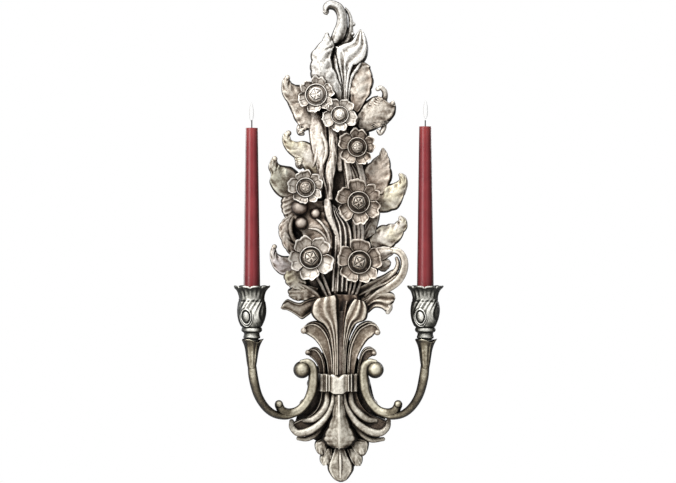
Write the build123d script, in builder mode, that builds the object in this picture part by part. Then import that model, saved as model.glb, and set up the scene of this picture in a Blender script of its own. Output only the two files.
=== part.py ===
"""Two-candle wall sconce in cast metal: a pierced foliage casting with dogwood flowers stands in a
bracket casting, and the bracket carries two curved arms with tulip cups and taper candles.

Frame: +Z up, +X to the right of someone facing the sconce, and the wall is the plane Y = 0. The room is
at -Y, so a point that stands DEPTH in front of the wall is at Y = -DEPTH. Plane.XZ.offset(depth) is that
plane, seen from the room. The origin is the centre of the keyhole's round entry, on the wall plane.
"""

import os
from math import asin, cos, radians, sin

from build123d import *

# ---- driving dimensions, mm -------------------------------------------------------------------------
GROUND = 8.0  # thickness of both castings at their ground
POCKET = 4.5  # depth of the hollow back
LEAF_BACK, LEAF_FRONT, LEAF_STEP = 2.5, 9.0, 0.25  # each leaf stands a step prouder than the one before
CREST_FRONT = 14.0
HANGER_PAD = 12.0
BOSS_FRONT = 24.0  # the bosses that the flower heads sit on
PETAL_THICK, PETAL_RIM, COLLAR = 2.5, 2.5, 3.0
STUD_R, STUD_TIP, STUD_HOLE_R = 2.0, 14.0, 2.05

CUP_X, CUP_DEPTH = 114.0, 85.0  # a cup's axis, from the middle and from the wall
SOCKET_R, SOCKET_FLOOR_Z = 11.4, -256.0
WELL_R, WELL_FLOOR_Z = 8.0, -283.0  # the hollow under the socket, where the cup screw's head sits
FOOT_R, FOOT_Z = 9.0, -301.0
CALYX_R, CALYX_RIM_Z, CALYX_SEAT_R = 12.6, -298.0, 9.15
CANDLE_BASE_R, CANDLE_TOP_R, CANDLE_TOP_Z = 11.0, 8.0, -18.0
WICK_R, WICK_HOLE_R, WICK_SUNK, WICK_STANDS = 0.8, 0.85, 12.0, 8.0

SCREW_R, TAPPED_R, CLEAR_R = 2.45, 2.5, 2.75  # M5
HEAD_R, HEAD_H, HEAD_BORE_R = 4.5, 3.2, 5.0
ARM_SEAT, ARM_PAD_R = 18.0, 6.5  # the flat seats that the arms bolt against
ARM_HEAD_SEAT = 6.0  # how far in from the wall the heads of the arm screws bear

TONGUE_X, TONGUE_Z, TONGUE_THICK = 9.0, -318.0, 7.0  # the tongue behind the bracket casting
JOIN_SCREW_Z = [-296.0, -310.0]

KEYHOLE_R, KEYHOLE_SLOT_R, KEYHOLE_RISE = 5.5, 2.5, 12.0
HANGER_THICK, HANGER_X, HANGER_BOTTOM, HANGER_TOP = 2.0, 18.0, -10.0, 20.0
HANGER_SCREW_X, HANGER_SCREW_Z, HANGER_SCREW_R, HANGER_HEAD_R = 13.0, 5.0, 1.95, 3.9

SIDES = {"left": -1, "right": 1}

# The seven flowers: middle (x, z), petal reach, button radius, petal count, turn in degrees.
FLOWERS = [
    ((-30, 27), 20.5, 11.0, 6, 20),
    ((1.5, 0), 20.5, 10.0, 5, 35),
    ((25, -43), 24.0, 11.0, 6, 0),
    ((-44, -97), 21.0, 10.5, 5, 10),
    ((27, -117), 29.0, 13.0, 6, 25),
    ((-37, -191), 29.0, 13.0, 5, 53),
    ((28, -197), 29.0, 13.0, 5, 18),
]

# ---- outlines, (x, z) seen from the room, each a closed smooth curve ---------------------------------
FOLIAGE_GROUND = [
    (-15, -262), (-32, -248), (-56, -228), (-60, -205), (-64, -175), (-68, -150),
    (-66, -120), (-52, -92), (-35, -72), (-33, -50), (-40, -25), (-52, 5), (-48, 30), (-34, 48),
    (-26, 70), (-12, 92), (6, 106), (24, 94), (24, 76), (22, 58), (32, 40), (27, 20), (27, 0),
    (38, -22), (45, -45), (44, -64), (54, -85), (56, -110), (60, -130), (48, -152), (46, -170),
    (60, -188), (60, -208), (64, -224), (48, -243), (34, -252), (16, -264),
]
LOW_LEAVES = {
    "left_top": [(-40, 38), (-52, 41), (-62, 43), (-65, 49), (-70, 51), (-76, 42), (-76, 27),
                 (-68, 12), (-62, 2), (-54, -9), (-55, -22), (-50, -25), (-44, -17), (-34, -24), (-30, 0)],
    "left_upper": [(-30, -36), (-46, -33), (-58, -36), (-64, -29), (-68, -23), (-74, -36),
                   (-68, -52), (-59, -60), (-54, -69), (-46, -65), (-36, -78), (-26, -60)],
    "left_middle": [(-52, -76), (-66, -69), (-79, -67), (-84, -59), (-89, -60), (-94, -74),
                    (-91, -94), (-80, -109), (-68, -110), (-50, -100)],
    "left_side": [(-58, -108), (-74, -113), (-75, -130), (-80, -150), (-78, -165), (-70, -182),
                  (-56, -170), (-54, -135)],
    "left_low": [(-60, -186), (-76, -189), (-84, -184), (-84, -177), (-90, -180), (-91, -194),
                 (-86, -210), (-72, -216), (-58, -210)],
    "left_ruffle": [(-52, -212), (-70, -216), (-69, -230), (-67, -240), (-59, -248), (-50, -243),
                    (-42, -230)],
    "left_skirt": [(-26, -236), (-46, -240), (-70, -247), (-77, -259), (-64, -262), (-55, -270),
                   (-46, -274), (-40, -262), (-29, -255)],
    "right_top": [(26, -14), (28, 2), (38, 20), (51, 28), (51, 36), (58, 37), (62, 24), (64, 14),
                  (74, 18), (77, 8), (71, -6), (61, -13), (57, -26), (50, -19), (40, -26), (30, -24)],
    "right_upper": [(40, -72), (54, -64), (60, -46), (64, -58), (67, -68), (69, -82), (63, -96),
                    (50, -108), (36, -96)],
    "right_middle": [(48, -108), (62, -98), (80, -89), (82, -80), (89, -86), (90, -99), (84, -116),
                     (78, -127), (64, -130), (54, -124)],
    "right_low": [(40, -172), (48, -157), (66, -151), (76, -144), (80, -137), (88, -144), (89, -154),
                  (84, -166), (76, -178), (60, -186), (46, -184)],
    "right_scroll": [(54, -196), (66, -182), (80, -184), (90, -196), (90, -208), (80, -226),
                     (62, -236), (48, -228), (52, -214), (70, -209), (76, -200), (70, -196)],
    "right_skirt": [(34, -250), (48, -240), (62, -236), (76, -238), (72, -256), (61, -263),
                    (54, -257), (44, -264), (40, -270), (34, -256)],
}
CREST_LEAVES = {
    "crest": [(-12, 40), (-34, 50), (-37, 66), (-36, 84), (-20, 100), (-8, 110), (-5, 128),
              (-9, 140), (-17, 136), (-20, 147), (-8, 154), (8, 146), (18, 130), (15, 108), (4, 94),
              (-8, 74), (2, 44)],
    "crest_right": [(6, 20), (6, 60), (4, 84), (16, 98), (22, 114), (32, 108), (38, 94), (37, 78),
                    (32, 71), (41, 66), (46, 48), (42, 28), (26, 14)],
}
BRACKET_GROUND = [
    (-18, -262), (-26, -276), (-22, -300), (-30, -340), (-44, -362), (-47, -384), (-62, -402),
    (-60, -424), (-48, -437), (-34, -440), (-26, -456), (-20, -470), (-10, -482), (3, -492),
    (16, -482), (27, -470), (34, -456), (40, -441), (56, -438), (64, -424), (68, -404),
    (54, -386), (50, -362), (34, -340), (22, -300), (28, -276), (18, -262),
]
FRONDS = {
    "upper_left": [(-8, -344), (-13, -318), (-22, -292), (-34, -280), (-46, -284), (-49, -293),
                   (-38, -299), (-27, -312), (-19, -344)],
    "upper_right": [(9, -344), (13, -318), (22, -294), (34, -280), (48, -281), (54, -291),
                    (46, -297), (36, -312), (24, -344)],
    "lower_left": [(-19, -345), (-23, -326), (-31, -313), (-41, -314), (-43, -322), (-34, -330),
                   (-28, -345)],
    "lower_right": [(22, -345), (27, -326), (36, -313), (48, -314), (50, -323), (42, -329),
                    (31, -345)],
}
BELL_LEAF = [(-5, -376), (-9, -402), (-14, -416), (-22, -430), (-17, -441), (-3, -449), (12, -443),
             (25, -433), (18, -416), (11, -402), (8, -376)]
PENDANT_LOBES = {
    "left_high": [(-34, -436), (-28, -455), (-22, -456), (-17, -442), (-24, -432)],
    "left_low": [(-24, -456), (-24, -470), (-14, -468), (-9, -452), (-16, -446)],
    "right_high": [(40, -438), (37, -455), (30, -458), (25, -444), (31, -433)],
    "right_low": [(33, -458), (29, -471), (19, -467), (15, -454), (24, -448)],
}
# Tube-like pieces: (x, depth, z, radius) along the middle line.
STEMS = [
    [(2, 14, -268, 7), (-2, 14, -240, 9), (-3, 16, -190, 8), (2, 15, -150, 7), (-4, 13, -128, 6)],
    [(-9, 14, -262, 5), (-10, 15, -205, 6), (-7, 15, -165, 6), (-15, 15, -120, 6)],
    [(-16, 12, -130, 8), (-18, 13, -85, 9), (-15, 13, -45, 9), (-12, 12, -14, 7)],
    [(4, 11, -8, 6), (6, 12, 30, 6), (3, 11, 70, 5)],
    [(24, 11, -246, 6), (22, 13, -215, 6), (24, 12, -160, 6), (27, 12, -130, 6)],
    [(12, 10, -100, 6), (22, 11, -76, 7), (30, 11, -60, 6)],
]
BERRIES = [((-52, -123), 10.5), ((-31, -132), 8.0), ((-50, -147), 9.0)]
C_SCROLL = [(9, 16, -376, 5), (12, 18, -396, 5.5), (25, 19, -414, 5.5), (44, 18, -424, 5), (58, 16, -419, 4)]
ARM_SWEEP = [(58, 26, -400, 4.4), (71, 31, -403, 4.8), (86, 42, -399, 5.3), (98, 54, -388, 5.8),
       (107, 67, -371, 6.2), (112, 78, -349, 6.7), (114, 84, -326, 7.4), (114, 85, -309, 8.4)]
ARM_SCROLL = [(38, 24, -336, 4.6), (36, 24, -352, 6), (37, 24, -370, 6), (43, 24, -385, 5.7),
              (54, 25, -395, 5.3), (65, 28, -396, 4.8), (73, 33, -390, 4.6), (76.5, 36, -382, 4.8)]
ARM_BALL = (49, 24, -341, 11.4)
ARM_SCREWS = [(36, -360), (46, -388)]


VASE = [(-346, 9, 11), (-322, 12, 14), (-298, 18, 18), (-278, 30, 22), (-262, 36, 23)]  # z, half width, bulge
VASE_MOUTH = [(-286, 14, 11), (-274, 23, 16), (-255, 33, 20)]
FROND_FRONTS = [16.0, 17.0, 10.5, 10.8]
BELL_RIDGE = [(1.5, 14, -382, 4.5), (1.5, 15, -405, 8), (2, 15, -425, 11), (3, 14, -438, 9)]
FINIAL = [(3, 9, -452, 8), (3, 9, -468, 11), (4, 9, -478, 12), (4, 8, -485, 7.5)]
FOLIAGE_POCKETS = [
    [(-24, 30), (-40, 34), (-30, 62), (-10, 88), (14, 92), (18, 60), (22, 40), (14, 32)],
    [(-24, -16), (-36, -44), (-24, -72), (-44, -96), (-56, -116), (-52, -150), (-10, -150), (12, -104),
     (34, -64), (22, -26), (0, -20)],
    [(-52, -158), (-52, -222), (-34, -238), (-14, -248), (18, -248), (42, -236), (54, -214), (48, -192),
     (36, -168), (44, -136), (26, -108), (0, -140)],
]
BRACKET_POCKETS = [
    [(-22, -328), (-34, -352), (-28, -376), (-12, -378), (-12, -328)],
    [(22, -328), (34, -352), (28, -376), (12, -378), (12, -328)],
    [(-40, -400), (-50, -424), (-30, -432), (-14, -462), (4, -478), (20, -462), (34, -432), (54, -424),
     (44, -400), (20, -390), (-20, -390)],
]
BAND_X, BAND_RISE, BAND_THICK, BAND_TOP_Z, BAND_BOTTOM_Z = 27.0, 19.0, 2.5, -347.0, -372.0
BAND_PIN_X, BAND_PIN_Z = 25.3, -358.0
CUP_OUTSIDE = [
    (FOOT_R, FOOT_Z), (FOOT_R, -297.5), (10.6, -296.5), (11, -295), (10.4, -292), (10.4, -289.5),
    (13, -287.5), (13.4, -285), (12.4, -282), (15, -278), (17.4, -272), (18.4, -266), (18.4, -261),
    (17.2, -252), (16.8, -245), (17.4, -239), (20, -233), (23.6, -229.5), (24, -228), (23, -227.5),
    (19, -230), (14.5, -236), (12, -240.5), (SOCKET_R, -243),
]

# ---- helpers ----------------------------------------------------------------------------------------
def front(x, depth, z):
    """The point DEPTH in front of the wall."""
    return Vector(x, -depth, z)


def facing(x, z, depth):
    """The plane DEPTH in front of the wall, centred at (x, z), looking at the room."""
    return Plane(origin=front(x, depth, z), x_dir=(1, 0, 0), z_dir=(0, -1, 0))


def plate(points, back, face, mode=Mode.ADD):
    """A closed outline with every corner rounded to nearly half its sides, filled between two depths."""
    corners = [Vector(*p) for p in points]
    arcs = []
    for before, corner, after in zip(corners[-1:] + corners[:-1], corners, corners[1:] + corners[:1]):
        reach = 0.45 * min((before - corner).length, (after - corner).length)
        to_before = (before - corner).normalized()
        to_after = (after - corner).normalized()
        half_angle = radians(to_before.get_angle(to_after)) / 2
        inward = (to_before + to_after).normalized()
        middle = corner + inward * (reach * (1 - sin(half_angle)) / cos(half_angle))
        arcs.append((corner + to_before * reach, middle, corner + to_after * reach))
    with BuildSketch(Plane.XZ.offset(back)) as outline:
        with BuildLine():
            for arc, following in zip(arcs, arcs[1:] + arcs[:1]):
                ThreePointArc(*arc)
                Line(arc[2], following[0])
        make_face()
    extrude(outline.sketch, amount=face - back, mode=mode)


def peg(x, z, radius, back, face, mode=Mode.ADD):
    """A cylinder square to the wall, between two depths."""
    with Locations(facing(x, z, back)):
        Cylinder(radius, face - back, align=(Align.CENTER, Align.CENTER, Align.MIN), mode=mode)


def block(left, right, bottom, top, back, face, mode=Mode.ADD):
    """A box given by its sides seen from the room and its two depths."""
    with Locations(front((left + right) / 2, (back + face) / 2, (bottom + top) / 2)):
        Box(right - left, face - back, top - bottom, mode=mode)


def tube(stations):
    """A round bar of changing radius along (x, depth, z, radius) stations, with ball ends."""
    points = [front(*s[:3]) for s in stations]
    steps = [b - a for a, b in zip(points, points[1:])]
    bends = [a.normalized() + b.normalized() for a, b in zip(steps, steps[1:])]
    sections = []
    across = Vector(0.3, 1, 0.1)
    for point, tangent, station in zip(points, [steps[0], *bends, steps[-1]], stations):
        along = tangent.normalized()
        across = (across - along * across.dot(along)).normalized()
        with BuildSketch(Plane(point, x_dir=across, z_dir=along)) as section:
            Circle(station[3])
        sections.append(section.sketch)
    loft(sections)
    for point, station in [(points[0], stations[0]), (points[-1], stations[-1])]:
        with Locations(point):
            Sphere(1.04 * station[3])


def ball(x, depth, z, radius):
    with Locations(front(x, depth, z)):
        Sphere(radius)


def turned(x, depth, profile, mode=Mode.ADD):
    """A shape turned about the upright axis at (x, depth) from a closed (radius, z) profile."""
    with BuildSketch(Plane(origin=front(x, depth, 0), x_dir=(1, 0, 0), z_dir=(0, -1, 0))) as section:
        with BuildLine():
            Polyline(*profile, close=True)
        make_face()
    revolve(section.sketch, axis=Axis(front(x, depth, 0), (0, 0, 1)), mode=mode)


def on_side(side, points):
    """The same stations or points, kept for +1 and mirrored left to right for -1."""
    return [(side * p[0], *p[1:]) for p in points]


def trim_behind_wall():
    block(-200, 200, -600, 300, -60, 0, mode=Mode.SUBTRACT)


def screws(places, head_depth):
    """M5 cheese-head screws square to the wall: the heads bear at HEAD_DEPTH and point to the wall."""
    with BuildPart() as group:
        for x, z, tip in places:
            peg(x, z, HEAD_R, head_depth - HEAD_H, head_depth)
            peg(x, z, SCREW_R, head_depth, tip)
    return group


def save(builder, name, tint):
    builder.part.label = name
    builder.part.color = Color(tint)
    export_step(builder.part, f"parts/{name}.step")


# ---- castings ---------------------------------------------------------------------------------------
def foliage():
    """Pierced leaves with stems, berries and flower bosses, and the tongue that the bracket covers."""
    with BuildPart() as casting:
        plate(FOLIAGE_GROUND, 0, GROUND)
        block(-TONGUE_X, TONGUE_X, TONGUE_Z, -262, 0, TONGUE_THICK)
        for index, points in enumerate(LOW_LEAVES.values()):
            plate(points, LEAF_BACK + 0.1 * index, LEAF_FRONT + LEAF_STEP * index)
        for index, points in enumerate(CREST_LEAVES.values()):
            plate(points, LEAF_BACK - 0.2 * (1 + index), CREST_FRONT + index)
        block(-22, 22, -16, 26, 0.5, HANGER_PAD)
        for stations in STEMS:
            tube(stations)
        for (x, z), radius in BERRIES:
            ball(x, 11, z, radius)
        for (x, z), reach, *_ in FLOWERS:
            peg(x, z, 0.35 * reach, POCKET + 1, BOSS_FRONT)
        trim_behind_wall()
        for points in FOLIAGE_POCKETS:
            plate(points, -1, POCKET, mode=Mode.SUBTRACT)
        for (x, z), *_ in FLOWERS:
            peg(x, z, STUD_HOLE_R, STUD_TIP - 1, BOSS_FRONT + 1, mode=Mode.SUBTRACT)
        for z in JOIN_SCREW_Z:
            peg(0, z, CLEAR_R, -1, TONGUE_THICK + 1, mode=Mode.SUBTRACT)
            peg(0, z, HEAD_BORE_R, -1, HEAD_H + 0.4, mode=Mode.SUBTRACT)
        block(-HANGER_X, HANGER_X, HANGER_BOTTOM, HANGER_TOP, -1, HANGER_THICK, mode=Mode.SUBTRACT)
        peg(0, 0, KEYHOLE_R + 1, -1, HANGER_THICK + 5, mode=Mode.SUBTRACT)
        block(-KEYHOLE_R - 1, KEYHOLE_R + 1, 0, KEYHOLE_RISE + 4, -1, HANGER_THICK + 5, mode=Mode.SUBTRACT)
        for x in (-HANGER_SCREW_X, HANGER_SCREW_X):
            peg(x, HANGER_SCREW_Z, HANGER_SCREW_R + 0.05, -1, HANGER_PAD - 1, mode=Mode.SUBTRACT)
    return casting


def bracket():
    """The vase of leaves, its fronds, the scrolls, the bell leaf and the seats for the arms."""
    with BuildPart() as casting:
        plate(BRACKET_GROUND, 0, GROUND)
        sections = []
        for z, half_width, bulge in VASE:
            with BuildSketch(Plane(origin=front(0, 8, z))) as section:
                Ellipse(half_width, bulge)
            sections.append(section.sketch)
        loft(sections)
        block(-12, 12, -376, -340, 6, 19)
        for index, points in enumerate(FRONDS.values()):
            plate(points, LEAF_BACK + 0.1 * index, FROND_FRONTS[index])
        plate(BELL_LEAF, LEAF_BACK + 1, 13)
        tube(BELL_RIDGE)
        for index, points in enumerate(PENDANT_LOBES.values()):
            plate(points, LEAF_BACK + 0.1 * index, 11 + LEAF_STEP * index)
        tube(FINIAL)
        for side in SIDES.values():
            tube(on_side(side, C_SCROLL))
            for x, z in ARM_SCREWS:
                peg(side * x, z, ARM_PAD_R, 1, ARM_SEAT)
        trim_behind_wall()
        sections = []
        for z, half_width, bulge in VASE_MOUTH:
            with BuildSketch(Plane(origin=front(0, 8, z))) as section:
                Ellipse(half_width, bulge)
            sections.append(section.sketch)
        loft(sections, mode=Mode.SUBTRACT)
        for points in BRACKET_POCKETS:
            plate(points, -1, POCKET, mode=Mode.SUBTRACT)
        block(-TONGUE_X - 0.2, TONGUE_X + 0.2, TONGUE_Z - 0.2, -240, -1, TONGUE_THICK, mode=Mode.SUBTRACT)
        for z in JOIN_SCREW_Z:
            peg(0, z, TAPPED_R, TONGUE_THICK - 1, 19, mode=Mode.SUBTRACT)
        for side in SIDES.values():
            for x, z in ARM_SCREWS:
                peg(side * x, z, CLEAR_R, -1, ARM_SEAT + 1, mode=Mode.SUBTRACT)
                peg(side * x, z, HEAD_BORE_R, -1, ARM_HEAD_SEAT, mode=Mode.SUBTRACT)
            peg(side * BAND_PIN_X, BAND_PIN_Z, 1.55, POCKET - 2, GROUND + 1, mode=Mode.SUBTRACT)
    return casting


def band():
    """The strap arched over the neck of the vase, with a pin under each foot."""
    with BuildPart() as strap:
        with BuildSketch(Plane(origin=front(0, GROUND, BAND_BOTTOM_Z))):
            Ellipse(BAND_X, BAND_RISE)
            Ellipse(BAND_X - BAND_THICK, BAND_RISE - BAND_THICK, mode=Mode.SUBTRACT)
        extrude(amount=BAND_TOP_Z - BAND_BOTTOM_Z)
        block(-BAND_X - 1, BAND_X + 1, BAND_BOTTOM_Z - 1, BAND_TOP_Z + 1, -60, GROUND, mode=Mode.SUBTRACT)
        for side in SIDES.values():
            peg(side * BAND_PIN_X, BAND_PIN_Z, 1.5, POCKET + 0.5, GROUND + 1)
    return strap


# ---- flowers ----------------------------------------------------------------------------------------
def flower_head(flower):
    """Dished petals round a collar, with the hole for the button's stud."""
    (x, z), reach, button_r, count, turn = flower
    with BuildPart() as head:
        with BuildSketch(facing(x, z, BOSS_FRONT)):
            Circle(0.6 * reach)
            with PolarLocations(0.58 * reach, count, start_angle=turn):
                Circle(0.42 * reach)
        extrude(amount=PETAL_THICK + PETAL_RIM)
        with BuildSketch(facing(x, z, BOSS_FRONT + PETAL_THICK)):
            Circle(0.62 * reach)
            with PolarLocations(0.58 * reach, count, start_angle=turn):
                Circle(0.34 * reach)
        extrude(amount=PETAL_RIM + 1, mode=Mode.SUBTRACT)
        peg(x, z, button_r + 3, BOSS_FRONT + 0.5, BOSS_FRONT + PETAL_THICK + COLLAR)
        peg(x, z, button_r + 0.2, BOSS_FRONT + PETAL_THICK, BOSS_FRONT + 10, mode=Mode.SUBTRACT)
        peg(x, z, STUD_HOLE_R, BOSS_FRONT - 1, BOSS_FRONT + 10, mode=Mode.SUBTRACT)
    return head


def flower_button(flower):
    """A domed button on a stud; the stud goes through the flower head into the casting's boss."""
    (x, z), _, radius, *_ = flower
    seat = BOSS_FRONT + PETAL_THICK
    rise = 0.72 * radius
    edge, crown = seat + 2, seat + 2 + rise
    dome_r = (radius**2 + rise**2) / (2 * rise)
    half_way = asin(radius / dome_r) / 2
    shoulder = (dome_r * sin(half_way), -crown + dome_r * (1 - cos(half_way)))
    with BuildPart() as button:
        with BuildSketch(Plane(origin=(x, 0, z))):
            with BuildLine():
                Polyline((0, -crown), (0, -STUD_TIP), (STUD_R, -STUD_TIP), (STUD_R, -seat),
                         (radius, -seat), (radius, -edge))
                ThreePointArc((radius, -edge), shoulder, (0, -crown))
            make_face()
        revolve(axis=Axis((x, 0, z), (0, 1, 0)))
    return button


# ---- arms, cups and candles -------------------------------------------------------------------------
def arm(side):
    """Scroll, sweep and calyx of one arm, with its ball and the flats that bolt to the bracket."""
    x = side * CUP_X
    with BuildPart() as limb:
        tube(on_side(side, ARM_SWEEP))
        tube(on_side(side, ARM_SCROLL))
        ball(side * ARM_BALL[0], *ARM_BALL[1:])
        for px, pz in ARM_SCREWS:
            peg(side * px, pz, ARM_PAD_R, ARM_SEAT, ARM_SCROLL[0][1])
        turned(x, CUP_DEPTH, [(0, -336), (5.5, -334), (7.6, -325), (8.6, -312), (CALYX_R, CALYX_RIM_Z),
                              (0, CALYX_RIM_Z)])
        turned(x, CUP_DEPTH, [(0, FOOT_Z), (CALYX_SEAT_R, FOOT_Z), (CALYX_SEAT_R, -290), (0, -290)],
               mode=Mode.SUBTRACT)
        turned(x, CUP_DEPTH, [(0, FOOT_Z - 18), (TAPPED_R, FOOT_Z - 18), (TAPPED_R, -290), (0, -290)],
               mode=Mode.SUBTRACT)
        for px, pz in ARM_SCREWS:
            peg(side * px, pz, TAPPED_R, ARM_SEAT - 1, ARM_SEAT + 9, mode=Mode.SUBTRACT)
    return limb


def cup(side):
    """Tulip cup: a foot in the arm's calyx, two rings, a belly and a flared lip round the candle socket."""
    with BuildPart() as holder:
        turned(side * CUP_X, CUP_DEPTH, CUP_OUTSIDE + [(SOCKET_R, SOCKET_FLOOR_Z), (WELL_R, SOCKET_FLOOR_Z),
                                                       (WELL_R, WELL_FLOOR_Z), (CLEAR_R, WELL_FLOOR_Z),
                                                       (CLEAR_R, FOOT_Z)])
    return holder


def cup_screws():
    """One M5 screw down through each cup into its arm."""
    with BuildPart() as group:
        for side in SIDES.values():
            turned(side * CUP_X, CUP_DEPTH, [(0, FOOT_Z - 15), (SCREW_R, FOOT_Z - 15), (SCREW_R, WELL_FLOOR_Z),
                                             (HEAD_R, WELL_FLOOR_Z), (HEAD_R, WELL_FLOOR_Z + HEAD_H),
                                             (0, WELL_FLOOR_Z + HEAD_H)])
    return group


def candle(side):
    """A taper candle with a rounded shoulder and the hole its wick stands in."""
    with BuildPart() as taper:
        turned(side * CUP_X, CUP_DEPTH, [(0, SOCKET_FLOOR_Z), (CANDLE_BASE_R, SOCKET_FLOOR_Z),
                                         (CANDLE_BASE_R, SOCKET_FLOOR_Z + 28), (CANDLE_TOP_R, CANDLE_TOP_Z - 4),
                                         (0.75 * CANDLE_TOP_R, CANDLE_TOP_Z - 1), (WICK_HOLE_R, CANDLE_TOP_Z),
                                         (WICK_HOLE_R, CANDLE_TOP_Z - WICK_SUNK), (0, CANDLE_TOP_Z - WICK_SUNK)])
    return taper


def wick(side):
    with BuildPart() as cord:
        turned(side * CUP_X, CUP_DEPTH, [(0, CANDLE_TOP_Z - WICK_SUNK), (WICK_R, CANDLE_TOP_Z - WICK_SUNK),
                                         (WICK_R, CANDLE_TOP_Z + WICK_STANDS), (0, CANDLE_TOP_Z + WICK_STANDS)])
    return cord


# ---- hanger -----------------------------------------------------------------------------------------
def hanger():
    """Steel plate let into the back: a round entry with a slot rising from it, and two countersinks."""
    with BuildPart() as steel:
        block(-HANGER_X, HANGER_X, HANGER_BOTTOM, HANGER_TOP, 0, HANGER_THICK)
        peg(0, 0, KEYHOLE_R, -1, HANGER_THICK + 1, mode=Mode.SUBTRACT)
        peg(0, KEYHOLE_RISE, KEYHOLE_SLOT_R, -1, HANGER_THICK + 1, mode=Mode.SUBTRACT)
        block(-KEYHOLE_SLOT_R, KEYHOLE_SLOT_R, 0, KEYHOLE_RISE, -1, HANGER_THICK + 1, mode=Mode.SUBTRACT)
        for x in (-HANGER_SCREW_X, HANGER_SCREW_X):
            with Locations(facing(x, HANGER_SCREW_Z, 0)):
                Cone(HANGER_HEAD_R + 0.15, HANGER_SCREW_R + 0.05, HANGER_THICK,
                     align=(Align.CENTER, Align.CENTER, Align.MIN), mode=Mode.SUBTRACT)
    return steel


def hanger_screws():
    with BuildPart() as group:
        for x in (-HANGER_SCREW_X, HANGER_SCREW_X):
            with Locations(facing(x, HANGER_SCREW_Z, 0)):
                Cone(HANGER_HEAD_R, HANGER_SCREW_R, HANGER_THICK, align=(Align.CENTER, Align.CENTER, Align.MIN))
            peg(x, HANGER_SCREW_Z, HANGER_SCREW_R, HANGER_THICK, HANGER_PAD - 3)
    return group


os.makedirs("parts", exist_ok=True)
save(foliage(), "foliage_casting", "lightgray")
save(bracket(), "bracket_casting", "silver")
save(band(), "clasp_band", "tan")
save(screws([(0, z, 17) for z in JOIN_SCREW_Z], HEAD_H + 0.4), "joining_screws", "gray")
for number, flower in enumerate(FLOWERS, start=1):
    save(flower_head(flower), f"flower_head_{number}", "beige")
    save(flower_button(flower), f"flower_button_{number}", "khaki")
for name, side in SIDES.items():
    save(arm(side), f"{name}_arm", "darkkhaki")
    save(cup(side), f"{name}_cup", "silver")
    save(candle(side), f"{name}_candle", "firebrick")
    save(wick(side), f"{name}_wick", "ivory")
save(cup_screws(), "cup_screws", "gray")
save(screws([(side * x, z, 25) for side in SIDES.values() for x, z in ARM_SCREWS], ARM_HEAD_SEAT), "arm_screws", "gray")
save(hanger(), "keyhole_hanger", "gray")
save(hanger_screws(), "hanger_screws", "dimgray")
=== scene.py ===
"""Looks for a two-candle wall sconce in cast metal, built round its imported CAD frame.

Working units are millimetres in (x, depth, z): x to the right, depth out from the wall towards the room,
z up. piece() turns them into metres in the frame's axes, where the room is at -Y.
"""

import bmesh
import bpy
import numpy as np
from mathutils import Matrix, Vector


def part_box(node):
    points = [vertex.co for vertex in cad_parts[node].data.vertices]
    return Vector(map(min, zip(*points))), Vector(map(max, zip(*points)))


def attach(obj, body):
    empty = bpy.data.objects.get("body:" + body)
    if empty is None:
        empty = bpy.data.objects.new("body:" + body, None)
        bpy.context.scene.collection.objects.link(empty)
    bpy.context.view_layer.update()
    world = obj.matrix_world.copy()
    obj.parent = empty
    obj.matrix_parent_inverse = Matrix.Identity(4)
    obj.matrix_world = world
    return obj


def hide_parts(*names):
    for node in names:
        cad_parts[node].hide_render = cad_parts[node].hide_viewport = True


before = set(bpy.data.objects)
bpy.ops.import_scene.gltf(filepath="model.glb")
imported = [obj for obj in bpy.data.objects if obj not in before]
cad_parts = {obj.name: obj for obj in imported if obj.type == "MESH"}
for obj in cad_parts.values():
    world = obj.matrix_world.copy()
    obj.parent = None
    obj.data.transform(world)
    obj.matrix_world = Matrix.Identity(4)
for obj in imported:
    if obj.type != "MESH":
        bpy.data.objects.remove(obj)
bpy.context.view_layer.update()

MM = 0.001
ROOT = "sconce"
PI = np.pi


def centre_of(node):
    """Middle of a CAD node as (x, depth, z) in millimetres."""
    low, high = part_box(node)
    middle = (low + high) / 2 / MM
    return middle.x, -middle.y, middle.z


# ---- surfaces ---------------------------------------------------------------------------------------
def smooth_line(points, count):
    """Cubic curve through the points. Its slope at a point is half the step between that point's
    neighbours, and it is read at even steps of the point number."""
    points = np.asarray(points, float)
    slope = np.gradient(points, axis=0)
    at = np.linspace(0, len(points) - 1, count)
    i = np.minimum(at.astype(int), len(points) - 2)
    f = (at - i)[:, None]
    start = points[i] * (1 + 2 * f) * (1 - f) ** 2 + slope[i] * f * (1 - f) ** 2
    end = points[i + 1] * f**2 * (3 - 2 * f) + slope[i + 1] * f**2 * (f - 1)
    return start + end


def bump_at(value, middle, width):
    """A rounded ridge of height 1 at the middle: e to the minus square of the distance in widths."""
    return np.exp(-(((value - middle) / width) ** 2))


def ease(value, low, high):
    """0 below low and 1 above high, with a smooth step of 3t^2 - 2t^3 between."""
    t = np.clip((value - low) / (high - low), 0, 1)
    return t * t * (3 - 2 * t)


def skin(rings, rim=None):
    """Closed surface over rings of points: rings joined in order, each end drawn in to its middle. Rim is
    how near each point is to an edge, from 0 to 1."""
    rows, around, _ = rings.shape
    points = np.concatenate([rings.reshape(-1, 3), rings[:1].mean(1), rings[-1:].mean(1)])
    rim = np.zeros(len(points)) if rim is None else np.append(rim.ravel(), (1, 1))
    i, j = np.meshgrid(np.arange(rows - 1), np.arange(around), indexing="ij")
    k = (j + 1) % around
    walls = np.stack([i * around + j, i * around + k, (i + 1) * around + k, (i + 1) * around + j], -1)
    j = np.arange(around)
    k = (j + 1) % around
    last = (rows - 1) * around
    foot = np.stack([k, j, np.full(around, rows * around)], -1)
    head = np.stack([last + j, last + k, np.full(around, rows * around + 1)], -1)
    return points, walls.reshape(-1, 4), np.concatenate([foot, head]), rim


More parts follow.
